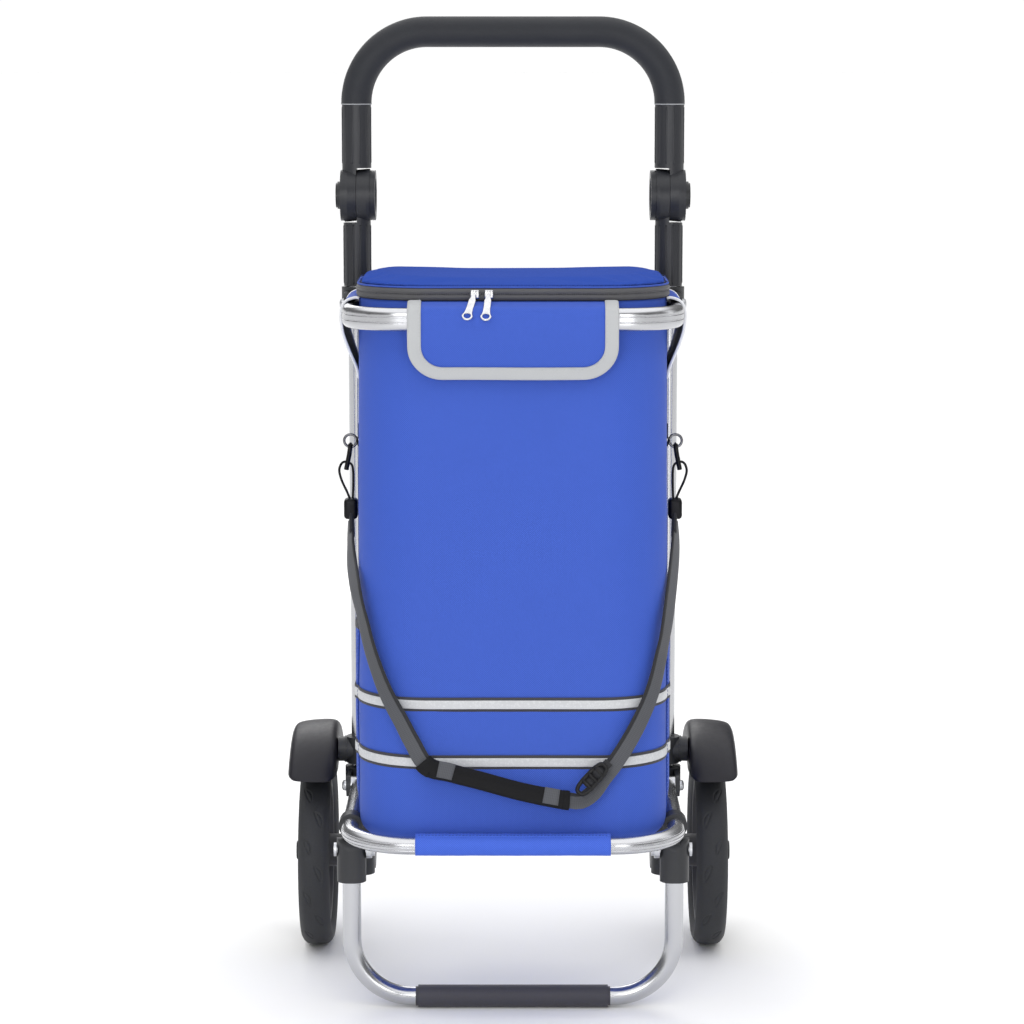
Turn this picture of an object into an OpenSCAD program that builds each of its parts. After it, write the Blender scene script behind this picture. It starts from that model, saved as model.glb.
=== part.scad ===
// Folding shopping trolley: aluminium frame on two wheels, hinged handle, folding platform and foot,
// and a fabric bag that hangs in a hoop. Millimetres, +Z up, front towards -Y, origin on the ground
// under the middle of the object's box.

/* [Frame] */
// Half the distance between the two rails, centre to centre
rail_x = 166; // [150:1:180]
// Distance of the rails' plane behind the object's middle
rail_y = 85.3; // [84:0.1:87]
// Outer diameter of a rail
rail_d = 20; // [18:0.5:22]
// Wall thickness of the aluminium tubes
wall = 1.5; // [1:0.1:2]

/* [Handle] */
// Height of the handle's fold axis
fold_z = 828; // [820:1:835]
// Height of the middle of the handle's top bar
handle_z = 1000; // [980:1:1040]
// Bend radius of the handle, at the tube's centre
handle_bend = 75; // [60:1:90]
// Diameter of the foam on the handle
grip_d = 32.2; // [30:0.1:36]

/* [Hoops] */
// Height of the hoop that the bag hangs in
hoop_z = 715; // [705:1:720]
// Reach of the hoop in front of the rails, to its tube's centre
hoop_reach = 243; // [240:1:246]
// Height of the platform's tube
platform_z = 194; // [192:1:196]
// Reach of the platform in front of the rails, to its tube's centre
platform_reach = 300; // [298:1:310]
// Distance of the hoops' pivots in front of the rails
pivot_reach = 36; // [36:1:38]

/* [Foot] */
// Distance of the foot in front of the rails
foot_reach = 209; // [206:1:212]
// Height of the foot's fold axis
foot_pivot_z = 167; // [165:0.5:168]
// Diameter of the foot's tube
foot_d = 19; // [18:0.5:20]

/* [Wheels] */
// Radius of the tyre
tyre_r = 104; // [98:1:106]
// Width of the tyre
tyre_w = 34; // [30:1:36]
// Distance of the axle behind the rails
axle_back = 36; // [34:1:40]

/* [Bag] */
// Half the bag's width at its middle
bag_half = 157; // [154:0.5:157]
// Height of the bag's underside
bag_bottom = 186; // [186:0.5:188]
// Height of the bag's rim, where the zip starts
bag_rim = 733; // [728:1:736]
// Thickness of the padded lid
lid_h = 14; // [10:1:20]

/* [Hidden] */
$fn = 48;
gap = 0.05;                     // radial clearance of a running fit
tube_grooves = [-22, 0, 22];    // directions of the three shallow grooves in a round tube
base_half = 147;                // half the bag's width at its base
base_top = 250;                 // height where the bag reaches its full width
rim_half = 151;                 // half the bag's width at its rim
bag_back = 26;                  // the bag's back, in front of the rails
bag_front_low = 286;            // the bag's front at its base
bag_front_top = 224;            // the bag's front at its rim
bag_r = 70;                     // corner radius of the bag's front
skin = 3;                       // thickness of the bag's padded wall
axle_z = tyre_r;
wheel_x = 215;                  // middle of the tyre
hub_in = 189;                   // inner and outer face of a wheel's hub
hub_out = 233;
socket_d = 29;                  // dark tube below the fold
upper_d = 31;                   // dark tube above the fold
seam_x = rail_x;                // plane where the two halves of the fold meet
knuckle_r = 28;
knuckle_in = 152;
knuckle_rim = 3.5;              // a fold disc's full radius runs this far in from its face
knuckle_waist = 27;             // its radius at the seam
knuckle_out = 183;
hinge_pocket = 173.5;           // floor of the button's pocket
button_r = 14.6;
zip_z = bag_rim + 6;            // middle of the zip
slider_x = [-38, -24];
slider_y = bag_front_top + 4.2; // sliders' middle, in front of the rails
pull_y = slider_y + 4;          // pull tabs' hinge, in front of the rails
pull_z = zip_z + 2;
pull_lean = 52;                 // how far a pull tab leans forward where it lies on the flap
pocket_front = 205;             // front edge of the side pockets, in front of the rails
band_z = [267, 324];            // lower edges of the reflective bands
band_h = 14;
ring_y = 150;                   // the strap's rings, in front of the rails
ring_z = 583;
ring_r = 6.5;
hook_z = 557.2;                 // the hook's lower eye
flap_half = 104;
flap_bottom = 653;
flap_r = 40;
flap_in = 0.7;                  // the flap's inner and outer face, out from the hoop's tube
flap_out = 2.4;

// Route of the shoulder strap's centreline from the left keeper to the right one, from the rails' plane,
// and the direction that its face looks in, in degrees from +X towards -Y.
strap_route = [
    [-167, -150, 502], [-167, -161, 486], [-165.5, -179, 465], [-159, -220, 439],
    [-151, -238, 410], [-143, -252, 382], [-132, -264, 353], [-122, -272, 333],
    [-112, -278, 316], [-101, -284, 296], [-86, -290, 273], [-62, -292, 266],
    [-30, -294, 258], [5, -296, 249], [38, -297, 242], [56, -296, 239],
    [68, -294, 238], [80, -292, 246], [90, -290, 260], [102, -286, 275],
    [115, -280, 294], [128, -270, 316], [140, -258, 342], [149, -244, 375],
    [157, -228, 415], [166.5, -172, 473], [167, -150, 502]];
strap_facing = [
    180, 178, 176, 170, 162, 154, 146, 138,
    130, 118, 104, 97, 92, 90, 88, 86,
    84, 80, 74, 68, 60, 52, 42, 32,
    22, 8, 0];
slider_ends = [[66, -303, 249], [91, -299, 275]];   // the strap adjuster's lower and upper end
strap_w = 18;
strap_t = 2;
strap_tilt = 35;                // how far the strap's face is turned up from level

// ---- placing ----

// Puts its children in the rails' frame, where y = 0 is the rails' plane
module from_rails() translate([0, rail_y, 0]) children();

module left() mirror([1, 0, 0]) children();

module both() {
    children();
    left() children();
}

// A cylinder along X from x0 to x1, at y and z
module along_x(x0, x1, r, y, z) translate([x0, y, z]) rotate([0, 90, 0]) cylinder(h = x1 - x0, r = r);

module upright(x, y, z0, z1, r) translate([x, y, z0]) cylinder(h = z1 - z0, r = r);

module block(lo, hi) translate(lo) cube(hi - lo);

// ---- profiles ----

// Round tube with three shallow grooves on its outer side
module tube_profile(d, hollow = true) {
    difference() {
        circle(d = d);
        if (hollow) circle(d = d - 2 * wall);
        for (a = tube_grooves) rotate(a) translate([d / 2 + 0.3, 0]) circle(r = 0.9, $fn = 16);
    }
}

// Upright flat oval, t thick and h tall
module oval(t, h) {
    square([t, h - t], center = true);
    for (s = [-1, 1]) translate([0, s * (h - t) / 2]) circle(d = t);
}

module hoop_profile() {
    difference() {
        oval(14, 23.4);
        oval(14 - 2 * wall, 23.4 - 2 * wall);
        for (s = [-1, 1]) translate([7.3, s * 2.8]) circle(r = 0.9, $fn = 16);
    }
}

// A U in the XY plane, open towards +Y: its tube's profile has x outwards and y up
module bow(half, reach, bend, leg_end) {
    translate([-(half - bend), -reach, 0]) rotate([90, 0, 90])
        linear_extrude(2 * (half - bend)) mirror([1, 0]) children();
    both() {
        translate([half - bend, -reach + bend, 0]) rotate(-90) rotate_extrude(angle = 90) translate([bend, 0])
            children();
        translate([half, leg_end, 0]) rotate([90, 0, 0]) linear_extrude(leg_end + reach - bend) children();
    }
}

// Outline of the bag at one height, from the bag's back to its front
module bag_outline(half, front, inset = 0, back_r = 18) {
    front_r = bag_r - inset;
    y0 = -front + inset;
    y1 = -bag_back - inset;
    x1 = half - inset;
    for (s = [-1, 1]) {
        translate([s * (x1 - front_r), y0 + front_r]) circle(r = front_r);
        translate([s * (x1 - back_r), y1 - back_r]) circle(r = back_r);
    }
    translate([-x1 + front_r, y0]) square([2 * (x1 - front_r), front_r]);
    translate([-x1, y0 + front_r]) square([2 * x1, y1 - back_r - y0 - front_r]);
    translate([-x1 + back_r, y1 - back_r - 1]) square([2 * (x1 - back_r), back_r + 1]);
}

// The bag's front, in front of the rails, at height z
function bag_front(z) =
    bag_front_top + (bag_front_low - bag_front_top) * (bag_rim - z) / (bag_rim - bag_bottom);

// The bag's half width at height z
function half_at(z) =
    z < base_top ? base_half + (bag_half - base_half) * (z - bag_bottom) / (base_top - bag_bottom)
    : z > 650 ? bag_half - (bag_half - rim_half) * (z - 650) / (bag_rim - 650)
    : bag_half;

module bag_slice(z, h, inset) {
    translate([0, 0, z]) linear_extrude(h) bag_outline(half_at(z), bag_front(z), inset);
}

module bag_solid(z0, z1, inset) {
    hull() {
        bag_slice(z0, 0.5, inset);
        if (z0 < base_top && z1 > base_top) bag_slice(base_top, 0.5, inset);
        if (z0 < 650 && z1 > 650) bag_slice(650, 0.5, inset);
        bag_slice(z1 - 0.5, 0.5, inset);
    }
}

// ---- swept solids ----

// Joins rings of n points each into a closed solid
module skin_rings(rings) {
    n = len(rings[0]);
    m = len(rings);
    sides = [for (i = [0 : m - 2]) for (j = [0 : n - 1])
        [i * n + j, i * n + (j + 1) % n, (i + 1) * n + (j + 1) % n, (i + 1) * n + j]];
    ends = [[for (j = [n - 1 : -1 : 0]) j], [for (j = [0 : n - 1]) (m - 1) * n + j]];
    polyhedron([for (r = rings) each r], concat(sides, ends), convexity = 6);
}

function unit(v) = v / norm(v);

function way(p, i) = unit(p[min(i + 1, len(p) - 1)] - p[max(i - 1, 0)]);

// Direction that the strap's face looks in at point i: level by its facing angle, then tilted up
function face_dir(i) = [
    cos(strap_facing[i]) * cos(strap_tilt), -sin(strap_facing[i]) * cos(strap_tilt), sin(strap_tilt)];

// Ring of eight points of a flat strip w wide and t thick at p, which runs along d and looks towards face
function strip_ring(p, d, face, w, t) =
    let (across = unit(cross(d, face)), out = cross(across, d), e = t / 2)
    [for (q = [[-w / 2, 0], [-w / 2 + e, -e], [0, -e], [w / 2 - e, -e],
               [w / 2, 0], [w / 2 - e, e], [0, e], [-w / 2 + e, e]])
        p + q[0] * across + q[1] * out];

function strap_ring(i, w, t) = strip_ring(strap_route[i], way(strap_route, i), face_dir(i), w, t);

// Coil spring along X with round wire
module coil(x0, x1, r, wire, turns) {
    steps = turns * 12;
    at = function (i) [x0 + wire + (x1 - x0 - 2 * wire) * i / steps, r * cos(i * 30), r * sin(i * 30)];
    skin_rings([for (i = [0 : steps])
        let (d = unit(at(i + 1) - at(i - 1)), out = unit([0, cos(i * 30), sin(i * 30)]), up = cross(d, out))
        [for (j = [0 : 5]) at(i) + wire * (cos(j * 60) * out + sin(j * 60) * up)]]);
}

// ---- frame ----

module rail() color("silver") from_rails() translate([rail_x, 0, 96]) rotate(-90)
    linear_extrude(790 - 96) tube_profile(rail_d);

// Bar behind the bag that joins the rails, notched round them
module cross_bar() color("silver") from_rails() difference() {
    along_x(-rail_x, rail_x, 8, 0, 470);
    along_x(-rail_x - 1, rail_x + 1, 8 - wall, 0, 470);
    both() upright(rail_x, 0, 455, 485, rail_d / 2 + gap);
}

// A cone about the fold's axis, from radius r0 at x0 to r1 at x1
module knuckle_cone(x0, x1, r0, r1)
    translate([x0, 0, fold_z]) rotate([0, 90, 0]) cylinder(h = x1 - x0, r1 = r0, r2 = r1);

// Dark tube over the rail's top, with the inner half of the fold
module handle_socket() color("#2b2d30") from_rails() difference() {
    union() {
        upright(rail_x, 0, 732, fold_z - knuckle_r - 1, socket_d / 2);
        intersection() {
            upright(rail_x, 0, 760, fold_z, socket_d / 2);
            block([rail_x - 20, -20, 760], [seam_x - 0.2, 20, fold_z]);
        }
        along_x(knuckle_in, knuckle_in + knuckle_rim, knuckle_r, 0, fold_z);
        knuckle_cone(knuckle_in + knuckle_rim, seam_x - 0.2, knuckle_r, knuckle_waist);
        along_x(knuckle_in - 6, knuckle_in, knuckle_r - 1.5, 0, fold_z);
    }
    upright(rail_x, 0, 731, 790.5, rail_d / 2 + gap);
    along_x(149, seam_x + 1, 5, 0, fold_z);
    along_x(knuckle_in - 7, knuckle_in - 4.5, 18, 0, fold_z);
}

module fold_pin() along_x(149, hinge_pocket - 1, 5, 0, fold_z);

module fold_pins() color("gray") from_rails() both() fold_pin();

// Collar on the rail with a fork that holds the end of a hoop's tube
module fork_collar(z, z0, z1, cheek_in, cheek_out, tube_half) {
    difference() {
        union() {
            upright(rail_x, 0, z0, z1, 17);
            for (x = [[cheek_in, rail_x - tube_half - 0.4], [rail_x + tube_half + 0.4, cheek_out]]) {
                along_x(x[0], x[1], 12, -pivot_reach, z);
                block([x[0], -pivot_reach, z - 12], [x[1], 0, z + 12]);
            }
        }
        upright(rail_x, 0, z0 - 20, z1 + 20, rail_d / 2 + gap);
        along_x(cheek_in - 5, cheek_out + 5, 3, -pivot_reach, z);
    }
}

module hoop_brackets() color("#1d1e20") from_rails() both()
    fork_collar(hoop_z, 700, 731, 154, 178.5, 7);

module platform_brackets() color("#1d1e20") from_rails() both()
    fork_collar(platform_z, 180, 208, 152, 180, 9);

module pivot_pin(x0, x1, z) {
    along_x(x0, x1, 3, -pivot_reach, z);
    for (x = [[x0 - 1.5, x0], [x1, x1 + 2.5]]) along_x(x[0], x[1], 5.5, -pivot_reach, z);
}

module pivot_pins() color("gray") from_rails() both() {
    pivot_pin(154, 178.5, hoop_z);
    pivot_pin(152, 180, platform_z);
}

// Clamp on the rail with the stub that carries the fender
module fender_clamps() color("#1d1e20") from_rails() both() difference() {
    union() {
        upright(rail_x, 0, 212, 241, 15.5);
        along_x(rail_x, 190, 13.5, 0, 226.5);
        along_x(181, 183.5, 14.5, 0, 226.5);
    }
    upright(rail_x, 0, 200, 250, rail_d / 2 + gap);
}

// Arched mudguard, open below, swept round the axle
module fender() color("#3a3b40") from_rails()
    translate([0, axle_back, axle_z]) rotate([0, 90, 0]) rotate(-216) rotate_extrude(angle = 80, $fn = 96) polygon([
        [112, 190], [135, 190], [142, 194], [145, 203], [145, 214], [141, 227], [136, 236], [129, 243],
        [118, 243], [118, 240], [127.5, 240], [133.5, 234], [138.3, 225], [142, 213], [142, 204],
        [139.8, 196.5], [134, 193], [112, 193]]);

// Black casting at the foot of a rail that holds the wheel's axle
module axle_bracket() color("#1d1e20") from_rails() difference() {
    union() {
        upright(rail_x, 0, 88, 150, 14.5);
        along_x(152, 180, 20, axle_back, axle_z);
        block([154, 0, axle_z - 16], [178, axle_back, axle_z + 14]);
        along_x(180, 187.5, 13, axle_back, axle_z);
    }
    upright(rail_x, 0, 95.5, 160, rail_d / 2 + gap);
    along_x(156, 190, 6, axle_back, axle_z);
}

module axles() color("gray") from_rails() both() along_x(156, 236, 6, axle_back, axle_z);

module axle_caps() color("#1d1e20") from_rails() both() difference() {
    union() {
        along_x(hub_out + 0.8, 236.5, 14, axle_back, axle_z);
        along_x(236.5, 239.5, 10, axle_back, axle_z);
    }
    along_x(hub_out, 236.2, 6, axle_back, axle_z);
}

// ---- wheels ----

module tyre() color("#2e2f33") from_rails() translate([wheel_x, axle_back, axle_z]) rotate([0, 90, 0])
    rotate_extrude($fn = 96) difference() {
        union() {
            translate([84, -13]) square([tyre_r - 84 - 8, 26]);
            translate([tyre_r - 12, 0]) {
                square([8, tyre_w], center = true);
                square([24, tyre_w - 16], center = true);
                for (s = [-1, 1]) translate([4, s * (tyre_w / 2 - 8)]) circle(r = 8);
            }
        }
        translate([0, -tyre_w]) square([84, 2 * tyre_w]);
    }

// Plastic wheel: hub, six spokes and the ring that the tyre sits on
module rim() color("#4a4b50") from_rails() translate([0, axle_back, axle_z]) rotate([0, 90, 0]) difference() {
    union() {
        translate([0, 0, hub_in]) cylinder(h = hub_out - hub_in, r = 18);
        translate([0, 0, wheel_x - 12]) difference() {
            cylinder(h = 24, r = 84, $fn = 96);
            translate([0, 0, -1]) cylinder(h = 26, r = 78, $fn = 96);
        }
        for (a = [0 : 60 : 300]) rotate(a) translate([15, -7, wheel_x - 5]) cube([65, 14, 10]);
    }
    translate([0, 0, hub_in - 1]) cylinder(h = hub_out - hub_in + 2, r = 9);
}

module bushes() color("gray") from_rails() translate([0, axle_back, axle_z]) rotate([0, 90, 0])
    for (z = [hub_in, hub_out - 12]) translate([0, 0, z]) difference() {
        cylinder(h = 12, r = 9);
        translate([0, 0, -1]) cylinder(h = 14, r = 6 + gap);
    }

// ---- bag ----

module bag_shell() color("#3450c4") from_rails() difference() {
    bag_solid(bag_bottom, bag_rim, 0);
    hull() {
        bag_slice(bag_bottom + skin, 0.5, skin);
        bag_slice(270, 0.5, skin);
        bag_slice(650, 0.5, skin);
        bag_slice(bag_rim + 1, 0.5, skin);
    }
}

// Stiff board that lies in the bag
module base_board() color("#303236") from_rails() translate([0, 0, bag_bottom + skin + 0.5])
    linear_extrude(3) bag_outline(base_half, bag_front_low, 10);

module side_pockets() color("#3450c4") from_rails() both()
    block([bag_half + 0.3, -pocket_front, 274], [bag_half + 3.5, -60, 402]);

// Two reflective bands round the bag's front and sides
module reflective_bands() color("#d8dadc") from_rails() for (z = band_z) difference() {
    translate([0, 0, z]) linear_extrude(band_h) difference() {
        bag_outline(bag_half, bag_front(z), -1);
        bag_outline(bag_half, bag_front(z), -0.2);
    }
    block([-200, -pocket_front - 1, z - 1], [200, 0, z + band_h + 1]);
}

// Zip's tape round the rim of the bag
module zip_tape() color("#303236") from_rails()
    translate([0, 0, bag_rim + 0.1]) linear_extrude(11.6) difference() {
        bag_outline(rim_half, bag_front_top, -1.5);
        bag_outline(rim_half, bag_front_top, 1.5);
    }

// Flap of cloth over the hoop's side tube
module side_flaps() color("#3450c4") from_rails() both() difference() {
    union() {
        block([154.5, -172, 690], [156, -54, 730.5]);
        block([154.5, -172, 729], [176.5, -54, 730.5]);
        block([175, -172, 672], [176.5, -54, 730.5]);
    }
    for (s = [[-172, -1], [-54, 1]]) translate([150, s[0], 672]) rotate([45, 0, 0])
        translate([0, -30, -30]) cube([30, 60, 60]);
}

// Cloth sewn round the hoop's front tube, with a flap that hangs on the bag's front
module front_flap() color("#3450c4") from_rails() intersection() {
    translate([-flap_half, -hoop_reach, hoop_z]) rotate([90, 0, 90]) linear_extrude(2 * flap_half) {
        difference() {
            oval(14 + 2 * flap_out, 23.4 + 2 * flap_out);
            oval(14 + 2 * flap_in, 23.4 + 2 * flap_in);
        }
        translate([-7 - flap_out, flap_bottom - hoop_z])
            square([flap_out - flap_in, hoop_z + 4.7 - flap_bottom]);
    }
    translate([0, -hoop_reach + 12, 0]) rotate([90, 0, 0]) linear_extrude(30) {
        translate([-flap_half, flap_bottom + flap_r]) square([2 * flap_half, 100]);
        translate([-flap_half + flap_r, flap_bottom]) square([2 * (flap_half - flap_r), flap_r + 1]);
        for (s = [-1, 1]) translate([s * (flap_half - flap_r), flap_bottom + flap_r]) circle(r = flap_r);
    }
}

// Padded lid of the bag
module lid() color("#3450c4") from_rails() translate([0, 0, bag_rim + 12]) {
    linear_extrude(lid_h - 4) bag_outline(rim_half + 1.5, bag_front_top + 1.5);
    translate([0, 0, lid_h - 4]) linear_extrude(4) bag_outline(rim_half, bag_front_top, 8);
}

// ---- zip ----

module slider(x) color("silver") from_rails() translate([x, 0, 0]) {
    translate([0, -slider_y, zip_z]) difference() {
        translate([-4.6, -2.2, -4.5]) cube([9.2, 4.4, 9]);
        translate([-5, -3, -4]) cube([10, 1.2, 3]);
    }
    for (s = [-4.1, 4.1]) {
        along_x(s - 0.5, s + 0.5, 1.3, -pull_y, pull_z);
        block([s - 0.5, -pull_y, pull_z - 1.3], [s + 0.5, -slider_y - 2, pull_z + 1.3]);
    }
    along_x(-4, 4, 0.6, -pull_y, pull_z);
}

// Pull tab with a hole at its lower end, hinged on its slider
module pull(x) color("silver") from_rails()
    translate([x, -pull_y, pull_z]) rotate([-pull_lean, 0, 0]) difference() {
        union() {
            along_x(-3.2, 3.2, 1.2, 0, 0);
            translate([0, 0.7, 0]) rotate([90, 0, 0]) linear_extrude(1.4) {
                polygon([[-3.2, 0], [3.2, 0], [4.6, -28], [-4.6, -28]]);
                translate([0, -28]) circle(r = 4.6);
            }
        }
        along_x(-4, 4, 0.6 + gap, 0, 0);
        translate([0, 2, -28]) rotate([90, 0, 0]) cylinder(h = 4, r = 2.6);
    }

// ---- strap ----

// Ring on a tab that is sewn to the bag's side
module d_rings() color("silver") from_rails() both() {
    translate([167, -ring_y, ring_z]) rotate([90, 0, 0])
        rotate_extrude() translate([ring_r, 0]) circle(r = 1.4);
    block([bag_half + 0.2, -ring_y - 10, ring_z - 9], [bag_half + 3.2, -ring_y + 10, ring_z + 11]);
}

// Snap hook: a flat bar with an eye round the ring and an eye round the wire loop
module snap_hooks() color("#1d1e20") from_rails() both()
    translate([165.5, -ring_y, 0]) rotate([90, 0, 90]) linear_extrude(3) difference() {
        translate([-4.5, hook_z - 4.5]) square([9, ring_z - ring_r - hook_z + 9]);
        for (z = [hook_z, ring_z - ring_r]) translate([0, z]) circle(r = 2.4);
    }

module wire_loops() color("#1d1e20") from_rails() both()
    translate([0, -ring_y + 1.2, 0]) rotate([90, 0, 0]) linear_extrude(2.4) difference() {
        polygon([[164.2, 519.5], [160.8, 549], [163, hook_z + 1.2],
            [173, hook_z + 1.2], [176, 549], [170.6, 519.5]]);
        polygon([[166.6, 521.9], [163.4, 549], [165, hook_z - 1.2],
            [171, hook_z - 1.2], [173.5, 549], [168.4, 521.9]]);
    }

// Plastic block that joins the strap to the wire loop
module strap_keepers() color("#1d1e20") from_rails() both() difference() {
    block([160.5, -ring_y - 9, 502.5], [173.5, -ring_y + 9, 523]);
    block([159, -ring_y - 1.5, 518], [175, -ring_y + 1.5, 524]);
}

module shoulder_strap() color("#4a4b50") from_rails()
    skin_rings([for (i = [0 : len(strap_route) - 1]) strap_ring(i, strap_w, strap_t)]);

module shoulder_pad() color("#1d1e20") from_rails() difference() {
    skin_rings([for (i = [10 : 15]) strap_ring(i, 24, 8)]);
    shoulder_strap_core();
}

// The strap itself, cut out of what is threaded on it
module shoulder_strap_core() skin_rings([for (i = [9 : 16]) strap_ring(i, strap_w + 0.2, strap_t + 0.2)]);

// Adjuster that the strap is threaded through; it lies in front of the strap's turn
module strap_slider() color("#1d1e20") from_rails() {
    way = unit(slider_ends[1] - slider_ends[0]);
    skin_rings([for (p = slider_ends) strip_ring(p, way, face_dir(17), 13, 4)]);
}

// ---- handle ----

module upper_tube() color("#2b2d30") from_rails() difference() {
    union() {
        upright(rail_x, 0, fold_z + knuckle_r + 1, 924, upper_d / 2);
        intersection() {
            upright(rail_x, 0, fold_z, fold_z + 40, upper_d / 2);
            block([seam_x + 0.2, -20, fold_z], [rail_x + 20, 20, fold_z + 40]);
        }
        knuckle_cone(seam_x + 0.2, 179 - knuckle_rim, knuckle_waist, knuckle_r);
        along_x(179 - knuckle_rim, 179, knuckle_r, 0, fold_z);
        along_x(179, knuckle_out, knuckle_r - 1, 0, fold_z);
    }
    upright(rail_x, 0, 868, 930, 12 + gap);
    along_x(160, 180, 5 + gap, 0, fold_z);
    along_x(hinge_pocket, 190, button_r + 0.2, 0, fold_z);
}

// Steel bow inside the foam
module handle_bow() color("gray") from_rails() translate([0, 0, handle_z]) rotate([-90, 0, 0])
    bow(rail_x, 0, handle_bend, handle_z - 868) difference() {
        circle(r = 12);
        circle(r = 12 - wall);
    }

module handle_grip() color("#232426") from_rails() translate([0, 0, handle_z]) rotate([-90, 0, 0])
    bow(rail_x, 0, handle_bend, handle_z - 924.5) difference() {
        circle(d = grip_d);
        circle(r = 12 + gap);
    }

module button_spring() color("gray") from_rails()
    translate([0, 0, fold_z]) coil(hinge_pocket, 180, 8.5, 0.7, 3);

module fold_button() color("#1d1e20") from_rails() difference() {
    union() {
        along_x(176.5, 186.5, button_r, 0, fold_z);
        along_x(186.5, 188, button_r - 2, 0, fold_z);
    }
    along_x(176, 180, 12, 0, fold_z);
}

// ---- hoops ----

// Eye at the end of a hoop's leg, on its pivot pin
module leg_eye(x_half, r, z) along_x(rail_x - x_half, rail_x + x_half, r, -pivot_reach, z);

module top_hoop() color("silver") from_rails() difference() {
    union() {
        translate([0, 0, hoop_z]) bow(rail_x, hoop_reach, 60, -pivot_reach) hoop_profile();
        both() leg_eye(7, 11.7, hoop_z);
    }
    both() along_x(150, 190, 3 + gap, -pivot_reach, hoop_z);
}

module platform_hoop() color("silver") from_rails() difference() {
    union() {
        translate([0, 0, platform_z]) bow(rail_x, platform_reach, 65, -pivot_reach) tube_profile(18);
        both() leg_eye(9, 10.5, platform_z);
    }
    both() along_x(150, 190, 3 + gap, -pivot_reach, platform_z);
}

// Flat bars under the bag, from tube to tube
module platform_slats() color("silver") from_rails() for (y = [80, 155])
    block([-rail_x - 4, -y - 10, platform_z - 12], [rail_x + 4, -y + 10, platform_z - 9]);

// Cloth sleeve sewn round the platform's front tube
module hoop_sleeve() color("#3450c4") from_rails() difference() {
    along_x(-96, 96, 10.6, -platform_reach, platform_z);
    along_x(-97, 97, 9.1, -platform_reach, platform_z);
}

// Clamp on the platform's side tube with the tongue that the foot swings on
module foot_lugs() color("#1d1e20") from_rails() both() difference() {
    union() {
        translate([rail_x, -foot_reach + 10, platform_z]) rotate([90, 0, 0]) cylinder(h = 20, r = 12.5);
        block([rail_x - 4.5, -foot_reach - 10, foot_pivot_z], [rail_x + 4.5, -foot_reach + 10, platform_z]);
        along_x(rail_x - 4.5, rail_x + 4.5, 10, -foot_reach, foot_pivot_z);
    }
    translate([rail_x, -foot_reach + 20, platform_z]) rotate([90, 0, 0]) cylinder(h = 40, r = 9 + gap);
    along_x(150, 190, 4, -foot_reach, foot_pivot_z);
}

module foot_pins() color("gray") from_rails() both() {
    along_x(147, 182, 4, -foot_reach, foot_pivot_z);
    along_x(145, 150.6, 9, -foot_reach, foot_pivot_z);
    along_x(142, 145, 6.5, -foot_reach, foot_pivot_z);
    along_x(181.4, 184, 7, -foot_reach, foot_pivot_z);
}

// Black socket that the foot's tube plugs into, with a fork on the tongue
module foot_sockets() color("#1d1e20") from_rails() both() difference() {
    intersection() {
        translate([rail_x, -foot_reach, 134]) linear_extrude(60) {
            square([5, 25], center = true);
            for (s = [-1, 1]) translate([s * 2.5, 0]) circle(r = 12.5);
        }
        union() {
            block([140, -foot_reach - 13, 134], [190, -foot_reach + 13, foot_pivot_z]);
            along_x(140, 190, 12.5, -foot_reach, foot_pivot_z);
        }
    }
    block([rail_x - 4.8, -foot_reach - 10.3, foot_pivot_z - 12], [rail_x + 4.8, -foot_reach + 15, 200]);
    upright(rail_x, -foot_reach, 130, 152, foot_d / 2 + gap);
    along_x(140, 190, 4 + gap, -foot_reach, foot_pivot_z);
}

module foot_tube() color("silver") from_rails() translate([0, -foot_reach, 11.5]) rotate([90, 0, 0])
    mirror([0, 0, 1]) bow(rail_x, 0, 62, 152 - 11.5) tube_profile(foot_d);

module foot_grip() color("#232426") from_rails() difference() {
    union() {
        along_x(-98, 98, 11.5, -foot_reach, 11.5);
        along_x(-100.5, 100.5, 9.8, -foot_reach, 11.5);
    }
    along_x(-102, 102, foot_d / 2 + gap, -foot_reach, 11.5);
}

left() rail();  // rail_left
rail();  // rail_right
cross_bar();
left() handle_socket();  // handle_socket_left
handle_socket();  // handle_socket_right
fold_pins();
hoop_brackets();
platform_brackets();
pivot_pins();
fender_clamps();
left() fender();  // fender_left
fender();  // fender_right
left() axle_bracket();  // axle_bracket_left
axle_bracket();  // axle_bracket_right
axles();
axle_caps();
bag_shell();
base_board();
side_pockets();
reflective_bands();
zip_tape();
side_flaps();
d_rings();
snap_hooks();
wire_loops();
strap_keepers();
shoulder_strap();
shoulder_pad();
strap_slider();
handle_bow();
handle_grip();
left() upper_tube();  // upper_tube_left
upper_tube();  // upper_tube_right
left() button_spring();  // button_spring_left
button_spring();  // button_spring_right
left() fold_button();  // fold_button_left
fold_button();  // fold_button_right
platform_hoop();
platform_slats();
hoop_sleeve();
foot_lugs();
foot_pins();
foot_tube();
foot_sockets();
foot_grip();
top_hoop();
front_flap();
lid();
slider(slider_x[0]);  // slider_left
slider(slider_x[1]);  // slider_right
pull(slider_x[0]);  // pull_left
pull(slider_x[1]);  // pull_right
left() tyre();  // tyre_left
tyre();  // tyre_right
left() rim();  // rim_left
rim();  // rim_right
left() bushes();  // bushes_left
bushes();  // bushes_right
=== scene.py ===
import math

import bmesh
import bpy
import numpy as np
from mathutils import Matrix, Vector, noise
from mathutils.bvhtree import BVHTree


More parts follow.
